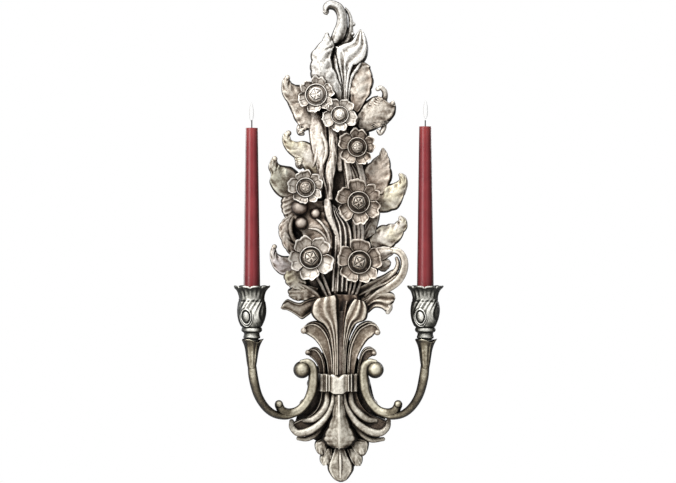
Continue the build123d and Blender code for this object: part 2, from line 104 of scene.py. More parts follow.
def leaf(rows, thick=4.0, crown=3.5, peak=0.0, rim=(1.2, 1.2), ribs=0, rib=0.9, ripple=0.0, ripples=4,
         scallop=0.0, scallops=5, veins=0, vein=0.8, keel=0.0, back=None, hollow=0.0, steps=(96, 25)):
    """A cast leaf. Each row is the left edge (x, z), the right edge (x, z) and the depth of a line across.
    Over t from -1 to 1 across, the front stands out from that depth by crown * (1 - t^2) and by a keel as a
    straight-sided ridge, both with their peak moved off centre, plus a round rim near each edge, ribs as a
    cosine of t, slanting veins as a cosine of the way along less the way out, a ripple as a sine along the
    leaf that grows with t^2, and half the thickness times the root of 1 - t^6. Scallops push both edges
    out by a sine along the leaf. The back is flat, with a hollow inside its rim. Unless its depth is given
    it lies between 4 and 5.8, from the sum of the rows, so that no two backs share a plane."""
    line = smooth_line(rows, steps[0])
    u = np.linspace(0, 1, steps[0])[:, None]
    left, right, depth = line[:, None, 0:2], line[:, None, 2:4], line[:, 4:5]
    across = right - left
    width = np.linalg.norm(across, axis=2)
    push = scallop * np.abs(np.sin(PI * scallops * u)) ** 0.7 * ease(width, 2, 12)
    way = across / np.maximum(width, 1e-6)[..., None]
    left = left - way * push[..., None]
    right = right + way * push[..., None]
    t = -np.cos(np.linspace(0, PI, steps[1]))[None, :]
    skew = np.where(t < peak, (t - peak) / (1 + peak), (t - peak) / (1 - peak))
    fade = np.clip(width / (0.45 * width.max()), 0, 1)
    raised = crown * (1 - skew**2) + keel * (1 - np.abs(skew))
    raised = raised - rib * np.cos(PI * ribs * (t + 1)) * (1 - t**4) * (ribs > 0)
    raised = raised + rim[0] * bump_at(t, -0.84, 0.12) + rim[1] * bump_at(t, 0.84, 0.12)
    slant = np.cos(2 * PI * (veins * u - 1.1 * np.abs(skew))) * (veins > 0)
    raised = raised + vein * slant * (1 - t**6) * np.abs(skew) ** 0.5
    middle = depth + raised * fade + ripple * np.sin(2 * PI * ripples * u + 0.8) * t**2 * fade
    front_depth = middle + np.minimum(thick / 2, 0.5 * width + 0.3) * np.sqrt(1 - t**6)
    back = 4 + 1.8 * (np.sum(np.asarray(rows, float)) * 0.618 % 1) if back is None else back
    inside = ease(1 - np.abs(t), 0.06, 0.16) * ease(u, 0.02, 0.05) * ease(1 - u, 0.02, 0.05)
    back_depth = np.minimum(back + hollow * inside + 0 * middle, front_depth - 1.0)
    share = (t[..., None] + 1) / 2
    plan = left + (right - left) * share
    front = np.stack([plan[..., 0], front_depth, plan[..., 1]], -1)
    rear = np.stack([plan[..., 0], back_depth, plan[..., 1]], -1)
    # near feeds the rim value: painted shade as a dark line along each edge, widened on the right edge, away
    # from the light, by the 0.04 shift, and a painted highlight as a pale band inside it
    near = np.maximum(np.clip(np.abs(t + 0.04), 0, 1), np.abs(2 * u - 1) ** 8) + 0 * width
    near_behind = 0.3 + 0 * near[:, -2:0:-1]
    return skin(np.concatenate([front, rear[:, -2:0:-1]], axis=1),
                np.concatenate([near, near_behind], axis=1))


def stem(stations, flat=1.0, grooves=0, groove=0.15, start=0.0, count=64, around=24):
    """A bar of changing radius along (x, depth, z, radius) stations with rounded ends. Grooves narrow the
    radius by a cosine of the angle round it, and flat scales it front to back."""
    line = smooth_line(stations, count)
    middle, radius = line[:, :3], line[:, 3]
    along = np.gradient(middle, axis=0)
    along /= np.linalg.norm(along, axis=1)[:, None]
    k = np.linspace(1, 0, 7)[:-1]
    foot = middle[0] - along[0] * (radius[0] * k)[:, None]
    head = middle[-1] + along[-1] * (radius[-1] * k[::-1])[:, None]
    dome = np.sqrt(1 - k**2)
    middle = np.concatenate([foot, middle, head])
    radius = np.concatenate([radius[0] * dome, radius, radius[-1] * dome[::-1]])
    along = np.concatenate([np.repeat(along[:1], 6, 0), along, np.repeat(along[-1:], 6, 0)])
    side = np.cross(along, (0, 1, 0))
    side /= np.linalg.norm(side, axis=1)[:, None]
    out = np.cross(side, along)
    angle = np.linspace(0, 2 * PI, around, endpoint=False)
    reach = radius[:, None] * (1 - groove * (0.5 + 0.5 * np.cos(grooves * angle + start)) * (grooves > 0))
    rings = middle[:, None] + (reach * np.cos(angle))[..., None] * side[:, None]
    rings = rings + (flat * reach * np.sin(angle))[..., None] * out[:, None]
    return skin(rings)


def spun(at, radius, height, out=False):
    """A closed surface turned about an axis through a point: upright, or pointing out of the wall. Radius
    and height are arrays whose rows run from pole to pole and whose columns go round."""
    radius, height = np.broadcast_arrays(radius, height)
    angle = np.linspace(0, 2 * PI, radius.shape[1], endpoint=False)[None, :]
    first, second = radius * np.cos(angle), radius * np.sin(angle)
    turned = [first, height, second] if out else [first, second, height]
    return skin(np.stack(turned, -1) + np.asarray(at, float))


def ball(x, depth, z, radius):
    """A ball: the radius times the sine and cosine of the angle down from its top."""
    turn = np.linspace(0, PI, 25)[:, None]
    return spun((x, depth, z), radius * np.sin(turn) + np.zeros(36), -radius * np.cos(turn))


def piece(name, shells, node, material, body=ROOT):
    """One object from closed shells: doubles merged, faces turned outwards, shaded smooth, riding on its
    body and standing for its CAD node."""
    points, rims, faces, first = [], [], [], 0
    for shell_points, walls, caps, rim in shells:
        points.append(shell_points)
        rims.append(rim)
        faces += (walls + first).tolist() + (caps + first).tolist()
        first += len(shell_points)
    points = np.concatenate(points) * MM * (1, -1, 1)
    mesh = bpy.data.meshes.new(name)
    mesh.from_pydata(points.tolist(), [], faces)
    # the rim value drives the painted shade along leaf edges and the painted highlight band inside them
    mesh.attributes.new("rim", "FLOAT", "POINT").data.foreach_set("value", np.concatenate(rims))
    shape = bmesh.new()
    shape.from_mesh(mesh)
    bmesh.ops.remove_doubles(shape, verts=shape.verts, dist=5e-6)
    bmesh.ops.dissolve_degenerate(shape, edges=shape.edges, dist=1e-6)
    bmesh.ops.recalc_face_normals(shape, faces=shape.faces)
    shape.to_mesh(mesh)
    shape.free()
    mesh.polygons.foreach_set("use_smooth", np.ones(len(mesh.polygons), bool))
    mesh.materials.append(material)
    made = bpy.data.objects.new(name, mesh)
    bpy.context.scene.collection.objects.link(made)
    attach(made, body)
    if node:
        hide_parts(node)


def foliage(name, shells, look):
    """A piece of the foliage casting."""
    piece(name, shells, "foliage_casting", look)


def bracket(name, shells, look):
    """A piece of the bracket casting."""
    piece(name, shells, "bracket_casting", look)


# ---- finishes ---------------------------------------------------------------------------------------
class Value:
    """A shader socket that takes + - * with numbers and other sockets."""

    def __init__(self, look, socket):
        self.look, self.socket = look, socket

    def math(self, operation, *values):
        return self.look.node("ShaderNodeMath", {"operation": operation}, dict(enumerate(values)))

    def __add__(self, other):
        return self.math("ADD", self, other)

    def __sub__(self, other):
        return self.math("SUBTRACT", self, other)

    def __rsub__(self, other):
        return self.math("SUBTRACT", other, self)

    def __mul__(self, other):
        return self.math("MULTIPLY", self, other)

    __radd__, __rmul__ = __add__, __mul__

    def between(self, low, high):
        """0 at low and 1 at high, held inside."""
        return self.look.node("ShaderNodeMapRange", {"clamp": True},
                              {"Value": self, "From Min": low, "From Max": high})


class Look:
    """A material and the nodes that make it."""

    def __init__(self, name):
        self.material = bpy.data.materials.new(name)
        self.material.use_nodes = True
        self.tree = self.material.node_tree
        self.tree.nodes.clear()

    def node(self, kind, settings=None, inputs=None, output=0):
        """One node of a kind, its settings first and then its sockets' values or links."""
        made = self.tree.nodes.new(kind)
        for key, value in (settings or {}).items():
            if key == "stops":
                while len(made.color_ramp.elements) < len(value):
                    made.color_ramp.elements.new(0.5)
                for element, (place, colour) in zip(made.color_ramp.elements, value):
                    element.position, element.color = place, (*colour, 1)
            else:
                setattr(made, key, value)
        for key, value in (inputs or {}).items():
            if isinstance(value, Value):
                self.tree.links.new(value.socket, made.inputs[key])
            else:
                made.inputs[key].default_value = value
        return Value(self, made.outputs[output]) if len(made.outputs) else None

    def mix(self, factor, first, second, blend="MIX"):
        first = first if isinstance(first, Value) else (*first, 1)
        second = second if isinstance(second, Value) else (*second, 1)
        return self.node("ShaderNodeMix", {"data_type": "RGBA", "blend_type": blend},
                         {0: factor, 6: first, 7: second}, output=2)

    def noise(self, place, scale, detail=4.0, rough=0.55):
        """Cloudy noise, with the scale in clouds to the metre."""
        return self.node("ShaderNodeTexNoise", None,
                         {"Vector": place, "Scale": scale, "Detail": detail, "Roughness": rough})

    def facing(self, normal):
        """1 where the surface faces the room or the wall, 0 where it is edge on."""
        depth = self.node("ShaderNodeSeparateXYZ", None, {0: normal}, output=1)
        return self.node("ShaderNodeMath", {"operation": "ABSOLUTE"}, {0: depth})

    def finish(self, **inputs):
        """The surface, from the shader's sockets by name with _ for a space."""
        sockets = {name.replace("_", " "): value for name, value in inputs.items()}
        shader = self.node("ShaderNodeBsdfPrincipled", None, sockets)
        self.node("ShaderNodeOutputMaterial", None, {"Surface": shader})
        return self.material


# sides sets painted shade on surfaces turned edge on to the room; rise sets painted light on what faces up
# and painted shade on what faces down
def rubbed_metal_and_painted_shade(name, bright, middle, brown, tint=None, lift=0.0, grain=1.0, sides=0.55, rise=0.14,
                 wear=0.52):
    """Antiqued casting: nearly black in the hollows, partly from the patina and partly from painted shade
    between parts; painted shade on the side walls and on what faces down, painted light on what faces up;
    rubbed pale on what stands out, with a granular skin. The shade adds up how open the air is, how sharp
    the edge, how far the surface faces the room and the ceiling, a painted highlight as a pale band inside
    each leaf's edge, a painted shadow as a dark line along it, and noise."""
    look = Look(name)
    place = look.node("ShaderNodeTexCoord", output=3)
    cloud = look.noise(place, 60, 4)
    speckle = look.noise(place, 290, 4, 0.7)
    fine = look.noise(place, 1500, 2, 0.6)
    hammer = look.node("ShaderNodeTexVoronoi", {"feature": "SMOOTH_F1"},
                       {"Vector": place, "Scale": 230, "Smoothness": 0.6})
    open_air = look.node("ShaderNodeAmbientOcclusion", {"samples": 8}, {"Distance": 0.021}, output=1)
    normal = look.node("ShaderNodeNewGeometry", output=1)
    rising = look.node("ShaderNodeSeparateXYZ", None, {0: normal}, output=2)
    edge = look.node("ShaderNodeNewGeometry", output="Pointiness")
    rim = look.node("ShaderNodeAttribute", {"attribute_name": "rim"}, output=2)
    worn = edge.between(0.50, 0.57)
    sunk = edge.between(0.495, 0.44)
    # open_air darkens hollows, partly as the patina in them and partly as painted shade in the gaps between
    # parts; worn pales sharp edges as wear; sunk darkens creases as patina
    shade = open_air.between(0.40, 0.97) * 0.72 + worn * wear - sunk * 0.50
    # painted shade: side walls and the flanks of bars, turned edge on to the room, are darkened by sides
    shade = shade + look.facing(normal).between(0.1, 0.94) * sides + (lift + 0.07 - sides)
    # painted light and shade: what faces up is lightened and what faces down darkened by rise
    shade = shade + rising * rise + (cloud - 0.5) * 0.5 + (speckle - 0.5) * 0.9 * grain
    # painted highlight: a pale band inside each leaf's edge; painted shade: a dark line along the edge
    shade = shade + rim.between(0.56, 0.72) * 0.14 - rim.between(0.78, 0.93) * 0.9
    deep = tuple(0.06 * c for c in brown)
    dark = tuple(0.35 * c for c in brown)
    stops = [(0.0, deep), (0.22, dark), (0.42, brown), (0.64, middle), (0.95, bright)]
    colour = look.node("ShaderNodeValToRGB", {"stops": stops}, {"Fac": shade})
    if tint:
        patch = look.noise(place, 38, 2).between(0.35, 0.6) * 0.6
        colour = look.mix(patch, colour, tint, "MULTIPLY")
    height = speckle * 0.9 * grain + fine * 0.25 + hammer * 0.5 * grain + cloud * 0.5
    skin_normal = look.node("ShaderNodeBump", None, {"Strength": 0.8, "Distance": 0.0014, "Height": height})
    rough = 0.5 - worn * 0.14 + (speckle - 0.5) * 0.25
    return look.finish(Base_Color=colour, Metallic=0.35, Roughness=rough, Normal=skin_normal,
                       Specular_IOR_Level=0.25)


# each finish below is patina plus painted shade on edge-on surfaces, undersides and leaf edges, and a
# painted highlight band inside leaf edges
PEWTER = dict(bright=(0.70, 0.66, 0.59), middle=(0.35, 0.30, 0.25), brown=(0.12, 0.085, 0.06))
foliage_look = rubbed_metal_and_painted_shade("foliage_patina_and_shade", **PEWTER)
crest_look = rubbed_metal_and_painted_shade("crest_patina_and_shade", (0.74, 0.725, 0.69), (0.43, 0.405, 0.37), (0.15, 0.125, 0.10),
                          lift=0.02, grain=1.3)
ground_look = rubbed_metal_and_painted_shade("ground_patina_and_shade", (0.40, 0.35, 0.30), (0.16, 0.125, 0.10), (0.055, 0.04, 0.03),
                           lift=-0.05)
trunk_look = rubbed_metal_and_painted_shade("trunk_patina_and_shade", (0.73, 0.68, 0.61), (0.43, 0.37, 0.315), (0.14, 0.10, 0.075),
                          lift=0.04, grain=1.4)
yellow_look = rubbed_metal_and_painted_shade("yellow_patina_and_shade", **PEWTER, tint=(1.0, 0.97, 0.72), lift=0.06)
pink_look = rubbed_metal_and_painted_shade("pink_patina_and_shade", **PEWTER, tint=(1.0, 0.88, 0.80))
green_look = rubbed_metal_and_painted_shade("green_patina_and_shade", **PEWTER, tint=(0.66, 0.74, 0.64), lift=-0.10)
lilac_look = rubbed_metal_and_painted_shade("lilac_patina_and_shade", **PEWTER, tint=(0.86, 0.84, 1.0), lift=0.04)
flower_look = rubbed_metal_and_painted_shade("flower_patina_and_shade", (0.72, 0.66, 0.58), (0.31, 0.255, 0.205), (0.115, 0.082, 0.06),
                           grain=0.7, lift=0.02, rise=0.24, wear=0.34)
pale_flower_look = rubbed_metal_and_painted_shade("pale_flower_patina_and_shade", (0.80, 0.76, 0.70), (0.42, 0.37, 0.315),
                                (0.15, 0.115, 0.085), grain=0.7, lift=0.12, rise=0.24, wear=0.34)
top_flower_look = rubbed_metal_and_painted_shade("top_flower_patina_and_shade", (0.76, 0.72, 0.66), (0.45, 0.40, 0.345),
                               (0.17, 0.13, 0.10), grain=0.7, lift=0.24, rise=0.2, wear=0.34)
berry_look = rubbed_metal_and_painted_shade("berry_patina_and_shade", (0.60, 0.53, 0.46), (0.24, 0.19, 0.155), (0.09, 0.06, 0.045),
                          grain=0.6, sides=0.8, rise=0.34, lift=-0.04)
dark_look = rubbed_metal_and_painted_shade("dark_patina_and_shade", (0.42, 0.35, 0.28), (0.15, 0.105, 0.075), (0.06, 0.038, 0.026),
                         lift=-0.16)
frond_look = rubbed_metal_and_painted_shade("frond_patina_and_shade", (0.72, 0.66, 0.56), (0.21, 0.165, 0.12), (0.085, 0.058, 0.04),
                          grain=0.8, lift=-0.10)
vase_look = rubbed_metal_and_painted_shade("vase_patina_and_shade", (0.68, 0.62, 0.53), (0.25, 0.20, 0.152), (0.10, 0.07, 0.048),
                         grain=0.9, lift=-0.06)
base_look = rubbed_metal_and_painted_shade("base_patina_and_shade", (0.66, 0.625, 0.545), (0.245, 0.215, 0.172), (0.09, 0.068, 0.048),
                         grain=0.9, sides=0.8, rise=0.3, lift=-0.08)
band_look = rubbed_metal_and_painted_shade("band_patina_and_shade", (0.74, 0.70, 0.62), (0.30, 0.26, 0.21), (0.11, 0.085, 0.06),
                         grain=0.8, lift=0.06)
bud_look = rubbed_metal_and_painted_shade("bud_patina_and_shade", (0.72, 0.665, 0.585), (0.27, 0.225, 0.182), (0.10, 0.074, 0.055),
                        grain=0.6, sides=0.8, lift=-0.06, wear=0.40)
leaf_look = rubbed_metal_and_painted_shade("leaf_patina_and_shade", (0.66, 0.615, 0.54), (0.32, 0.27, 0.22), (0.11, 0.08, 0.058),
                         lift=-0.06)
# arm and cup finishes: high sides and rise give strong painted shade on their flanks and undersides
arm_look = rubbed_metal_and_painted_shade("arm_patina_and_shade", (0.62, 0.58, 0.46), (0.20, 0.172, 0.12), (0.07, 0.056, 0.036),
                        grain=0.7, sides=1.5, rise=0.38, lift=-0.06)
cup_look = rubbed_metal_and_painted_shade("cup_patina_and_shade", (0.86, 0.85, 0.79), (0.27, 0.265, 0.235), (0.055, 0.055, 0.045),
                        grain=0.6, sides=1.3, rise=0.26, lift=-0.02, wear=0.40)


# ---- crest ------------------------------------------------------------------------------------------
crest_tongue = leaf(
    [(-13, 96, 3, 97, 10), (-11, 104, 8, 102, 12), (-7.5, 113, 12, 112, 14), (-3, 124, 12.5, 123, 16),
     (-2.5, 134, 11, 136, 18), (-6, 141, 5, 148, 20), (-11, 143, -6, 153.5, 22),
     (-13.5, 141.5, -15, 152.5, 23), (-14, 139, -20.5, 147, 23), (-14.5, 137, -20.5, 140, 23),
     (-15, 135.5, -18.5, 136.5, 22)],
    thick=6, crown=5, peak=-0.25, rim=(0.8, 0.6), ribs=1, rib=0.8, steps=(110, 27))
crest_back_strip = leaf(
    [(3, 97, 13, 94, 8), (9, 105, 19, 103, 9), (12.5, 116, 19.5, 115, 10), (13.5, 126, 19, 128, 11),
     (12.5, 135, 16, 138, 11), (8, 143, 10, 146, 11)], thick=5, crown=2.5, ripple=0.8, scallop=1.0,
     scallops=4)
crest_lobe = leaf(
    [(0, 18, 6, 18, 12), (-9, 29, 5, 31, 13), (-25, 38, 2.5, 43, 14), (-35, 50, -1, 54, 15),
     (-37.5, 61, -6.5, 65, 16), (-36.5, 72, -9, 76, 16), (-35.5, 84, -7, 87, 15), (-28, 93, -4.5, 93, 14),
     (-20, 103, -8, 100, 15), (-17, 110, -13, 108, 16)],
    thick=6, crown=7, peak=-0.1, rim=(0.6, 1.4), scallop=1.5, scallops=7, ripple=1.0, ripples=6, veins=7,
    vein=0.7, steps=(110, 31))
crest_strands = [
    stem([(-6, 12, 88, 2.6), (-4, 14, 78, 3.6), (-3, 15, 64, 3.8), (1, 15, 48, 3.4), (4.5, 14, 30, 2.8),
          (5.5, 13, 16, 2.4)],
         grooves=3, groove=0.2),
    stem([(-2, 19, 91, 1.6), (4, 21, 87, 2.2), (8, 21, 78, 2.2), (9.5, 20, 62, 2), (9, 18, 42, 1.8),
          (8, 16, 20, 1.6)]),
    stem([(24, 22, 78, 1.6), (19, 22, 70, 2), (14, 21, 58, 2.2), (11.5, 19, 42, 2), (10, 17, 22, 1.6)]),
    stem([(34, 19, 84, 1.6), (27, 20, 66, 2.2), (19, 19, 54, 2.4), (15, 17, 40, 2), (12.5, 15, 20, 1.6)])]
crest_right = leaf(
    [(6, 16, 12, 16, 12), (5, 40, 13, 40, 13), (2, 56, 14, 56, 14), (-2, 71, 19, 66, 15),
     (-5, 84, 25, 66, 16), (-3, 92, 31, 69, 17), (5, 96.5, 37.5, 76, 18), (15, 99, 40, 88, 18),
     (20, 104, 38, 102, 17), (25, 111, 34, 111, 16), (28.5, 115.5, 31, 115, 15)],
    thick=5, crown=5.5, peak=0.3, rim=(1.6, 2.2), ribs=3, rib=1.3, steps=(120, 41))
crest_low = leaf(
    [(19, 8, 25, 3, 10), (16, 22, 35, 18, 11), (14.5, 35, 42, 28, 12), (13, 48, 44.5, 37, 12),
     (13, 60, 46.5, 49, 12), (15.5, 69, 43, 60, 12), (22, 74, 42, 66, 12), (32, 73, 38, 70, 13)],
    thick=5, crown=4.5, peak=-0.2, rim=(1.0, 1.6), scallop=1.6, scallops=5, ripple=1.2, ripples=5, veins=6,
    vein=0.6)
crest_knobs = [ball(-16.8, 24, 138.6, 4.2), ball(19.6, 11, 123, 3.2), ball(-15.5, 15, 108.5, 3.0),
               ball(19, 15, 109, 2.6)]
foliage("crest_tongue", [crest_tongue, crest_back_strip, *crest_knobs], crest_look)
foliage("crest_lobe", [crest_lobe], crest_look)
foliage("crest_right_leaf", [crest_right], crest_look)
foliage("crest_strands", crest_strands, crest_look)
foliage("crest_low_leaf", [crest_low], pink_look)

# ---- leaves: name, look, options, then lobes of rows ---------------------------------------------------
LEAVES = {
    "left_leaf_1": (leaf_look, dict(ripple=1.2, veins=6, ribs=1, rib=0.8, scallop=0.8, scallops=4), [
        [(-30, -4, -20, 26, 8), (-42, 0, -30, 36, 9), (-53, 4, -41, 38.5, 9.5), (-62, 10, -50, 40.5, 10),
         (-70, 19, -58, 41.5, 10), (-75.5, 30, -63, 43.5, 11), (-76.5, 42, -65, 47, 13),
         (-73.5, 50, -67, 50, 15), (-69.5, 52, -68, 51, 16)],
        [(-70, 20, -30, 14, 9), (-64, 7, -26, 2, 10), (-59.5, -4, -24, -10, 11), (-55, -11, -30, -18, 11),
         (-52, -15, -38, -19, 12), (-55.5, -20, -44, -20, 13), (-54.5, -25, -46, -22, 14)]]),
    "left_leaf_2": (yellow_look, dict(veins=7, vein=0.6, ripple=1.0, ribs=1, rib=0.7), [
        [(-30, -96, -20, -92, 9), (-38, -84, -22, -70, 10), (-47, -72, -24, -54, 11),
         (-54, -62, -29, -44, 11), (-61, -56, -38, -37, 11), (-68, -50, -47, -34, 11),
         (-74, -41, -56, -35, 12), (-76, -32, -63, -33, 13), (-74, -25, -65, -28, 15),
         (-69, -22, -66, -24, 16)],
        [(-62, -52, -40, -58, 10), (-59, -60, -43, -64, 10), (-57.5, -66, -47, -66, 12),
         (-54, -70, -50.5, -69, 13)]]),
    "left_leaf_3": (green_look, dict(ribs=1, rib=0.8, ripple=1.0, veins=5), [
        [(-54, -114, -46, -84, 7), (-67, -113, -55, -75, 8), (-78, -110, -63, -69, 9),
         (-87, -102, -71, -67.5, 10), (-93, -90, -77, -66.5, 11), (-91, -80, -80, -65, 12),
         (-94.5, -70, -82, -62, 14), (-91, -60, -83, -59, 16), (-87, -57, -85, -58, 17)]]),
    "left_leaf_4": (pink_look, dict(ripple=1.2, scallop=1.0, veins=6, vein=0.7), [
        [(-74, -104, -40, -102, 7), (-77, -116, -42, -114, 8), (-76, -128, -46, -128, 8),
         (-71, -138, -50, -140, 8)],
        [(-62, -116, -18, -114, 9), (-62, -130, -15, -126, 10), (-60, -144, -14, -138, 11),
         (-52, -158, -8, -152, 12), (-42, -174, -6, -172, 13), (-36, -190, -8, -190, 12)],
        [(-66, -132, -52, -130, 7), (-77, -143, -60, -140, 8), (-80.5, -154, -63, -152, 9),
         (-77, -168, -62, -164, 9), (-71, -180, -56, -174, 8), (-62, -190, -52, -184, 7)]]),
    "left_leaf_5": (lilac_look, dict(ribs=1, rib=0.7, veins=5, ripple=0.8), [
        [(-58, -214, -56, -186, 7), (-68, -215.5, -66, -188.5, 8), (-78, -214, -75, -188.5, 9),
         (-87, -206, -81, -186, 10), (-91.5, -196, -83, -183, 11), (-92.5, -186, -84, -180, 13),
         (-90.5, -178, -85.5, -177, 15), (-87, -175, -86, -176, 16)]]),
    "left_leaf_6": (yellow_look, dict(scallop=1.8, scallops=4, veins=5, vein=1.0, ripple=1.4), [
        [(-66, -200, -40, -196, 7), (-72, -212, -40, -210, 9), (-71.5, -222, -42, -222, 10),
         (-66, -230, -44, -232, 10), (-60, -234, -50, -236, 10)]]),
    "left_leaf_8": (vase_look, dict(scallop=1.6, scallops=3, veins=4, vein=1.0, ripple=1.2), [
        [(-50, -226, -26, -232, 8), (-62, -230, -30, -244, 10), (-67, -236, -42, -248, 11),
         (-66, -243, -54, -249, 11), (-62, -247, -58, -248.5, 11)]]),
    "left_leaf_7": (vase_look, dict(rim=(1.6, 2.8), crown=2.5, ribs=1, rib=1.0), [
        [(-24, -262, -20, -242, 9), (-34, -264, -33, -245, 10), (-42, -270, -43, -247.5, 11),
         (-49, -274, -51, -251.5, 12), (-56, -269.5, -58, -251, 12), (-62, -265.5, -64, -248.5, 13),
         (-69, -262, -69, -247, 13), (-75, -261, -74, -251, 14), (-78, -259, -77, -257, 14)]]),
    "right_leaf_1": (leaf_look, dict(ribs=1, rib=0.7, ripple=1.0, veins=6), [
        [(22, -10, 34, -24, 8), (25, 2, 48, -20, 9), (31, 13, 60, -13, 9), (39, 21, 69, -8, 10),
         (48, 26, 76, 1, 10), (55, 25, 77.5, 9, 12), (66, 17, 77, 14, 14), (73, 20, 75.5, 18.5, 16)],
        [(34, 8, 66, 6, 9), (42, 20, 66, 14, 10), (52, 27, 66, 20, 10)],
        [(34, -14, 72, -4, 8), (42, -18.5, 68, -9, 9), (50, -18, 64, -13, 10)]]),
    "right_leaf_2": (pink_look, dict(scallop=1.8, scallops=4, veins=6, vein=0.7, ripple=1.2), [
        [(26, -90, 60, -108, 8), (30, -82, 66, -99, 9), (34, -74, 70, -88, 10), (40, -66, 71, -76, 11),
         (47, -60, 69, -65, 11), (54, -54, 67, -56, 12), (57, -48, 64, -49, 14),
         (58, -44, 61, -43.5, 16)]]),
    "right_leaf_3": (yellow_look, dict(ribs=1, rib=0.6, ripple=1.2, veins=6, scallop=1.0, scallops=4), [
        [(46, -108, 50, -130, 7), (54, -103, 62, -130, 8), (60, -98, 72, -128, 9), (67, -94, 80, -124, 10),
         (74, -91, 86.5, -113, 10), (79, -89.5, 88.5, -102, 11), (82, -86, 91.5, -93, 13),
         (82, -82, 90, -84, 15), (81.5, -79, 86, -78.5, 16)]]),
    "right_leaf_4": (yellow_look, dict(ribs=1, rib=0.6, ripple=1.2, veins=6, scallop=1.5), [
        [(40, -160, 46, -184, 7), (48, -153, 57, -183, 8), (57, -149, 69, -179, 10),
         (66, -147, 79, -171, 11), (74, -146, 87, -159, 11), (79.5, -143, 91.5, -149, 13),
         (81.5, -139, 90, -141, 15), (81, -136, 85, -135.5, 16)]]),
    "right_leaf_5": (foliage_look, dict(ribs=1, rib=0.7, scallop=0.8, scallops=3), [
        [(48, -178, 50, -198, 9), (56, -176, 60, -196, 12), (65, -176, 68, -190, 13),
         (71, -178, 74, -186, 13)],
        [(50, -188, 52, -206, 8), (58, -190, 60, -210, 10), (66, -193, 66, -207, 11),
         (71, -197, 70, -202, 11)]]),
    "right_leaf_6": (vase_look, dict(rim=(2.4, 1.8), crown=2, ribs=3, rib=1.2), [
        [(26, -252, 30, -272, 9), (36, -246, 40, -266, 10), (45, -241, 49, -259, 12),
         (54, -238, 58, -260, 13), (63, -236.5, 64.5, -265, 13), (70, -237, 67, -265, 13),
         (75, -240, 70, -258, 12), (76.5, -246, 74, -252, 11)],
        [(16, -236, 18, -258, 7), (30, -228, 36, -250, 9), (46, -220, 52, -242, 11),
         (60, -214, 68, -237, 12), (70, -208, 78, -229, 12), (76, -206, 84, -220, 11)]]),
}
for name, (look, options, lobes) in LEAVES.items():
    foliage(name, [leaf(rows, **options) for rows in lobes], look)
hooks = [
    stem([(57, 6, 14, 5), (62, 8, 24, 5), (62, 11, 32, 4.4), (57.5, 13, 37, 3.8), (53, 14, 35.5, 3.4)],
         grooves=2),
    stem([(57, 6, -4, 5), (61, 8, -13, 4.6), (59.5, 10, -20, 4), (56, 12, -24, 3.6), (53.5, 13, -21.5, 3)],
         grooves=2),
    stem([(-48, 7, -8, 5), (-53, 9, -17, 4.2), (-52.5, 11, -23.5, 3.8), (-48.5, 12, -24.5, 3.2)],
         grooves=2),
    stem([(-52, 7, -56, 5), (-55, 9, -65, 4.2), (-52, 11, -69.5, 3.6), (-49, 12, -68, 3)], grooves=2),
    stem([(86, 8, -104, 5), (89.5, 11, -92, 4.6), (88, 13, -83.5, 4.4), (84, 15, -80.5, 3.8)], grooves=2),
    stem([(82, 8, -158, 5), (88.5, 11, -149, 4.6), (88, 13, -141.5, 4.4), (84, 15, -138, 3.8)], grooves=2),
    stem([(66, 10, -250, 6), (69, 12, -258, 4.6), (66.5, 13, -263.5, 4)], grooves=2)]
foliage("leaf_hooks", hooks, foliage_look)
tips = [(-68.5, 16, 50.5, 3.6), (-67, 16, -24, 3.8), (-85.7, 17, -58.5, 3.8), (-86, 16, -176.5, 3.4)]
foliage("leaf_tips", [ball(*tip) for tip in tips], frond_look)

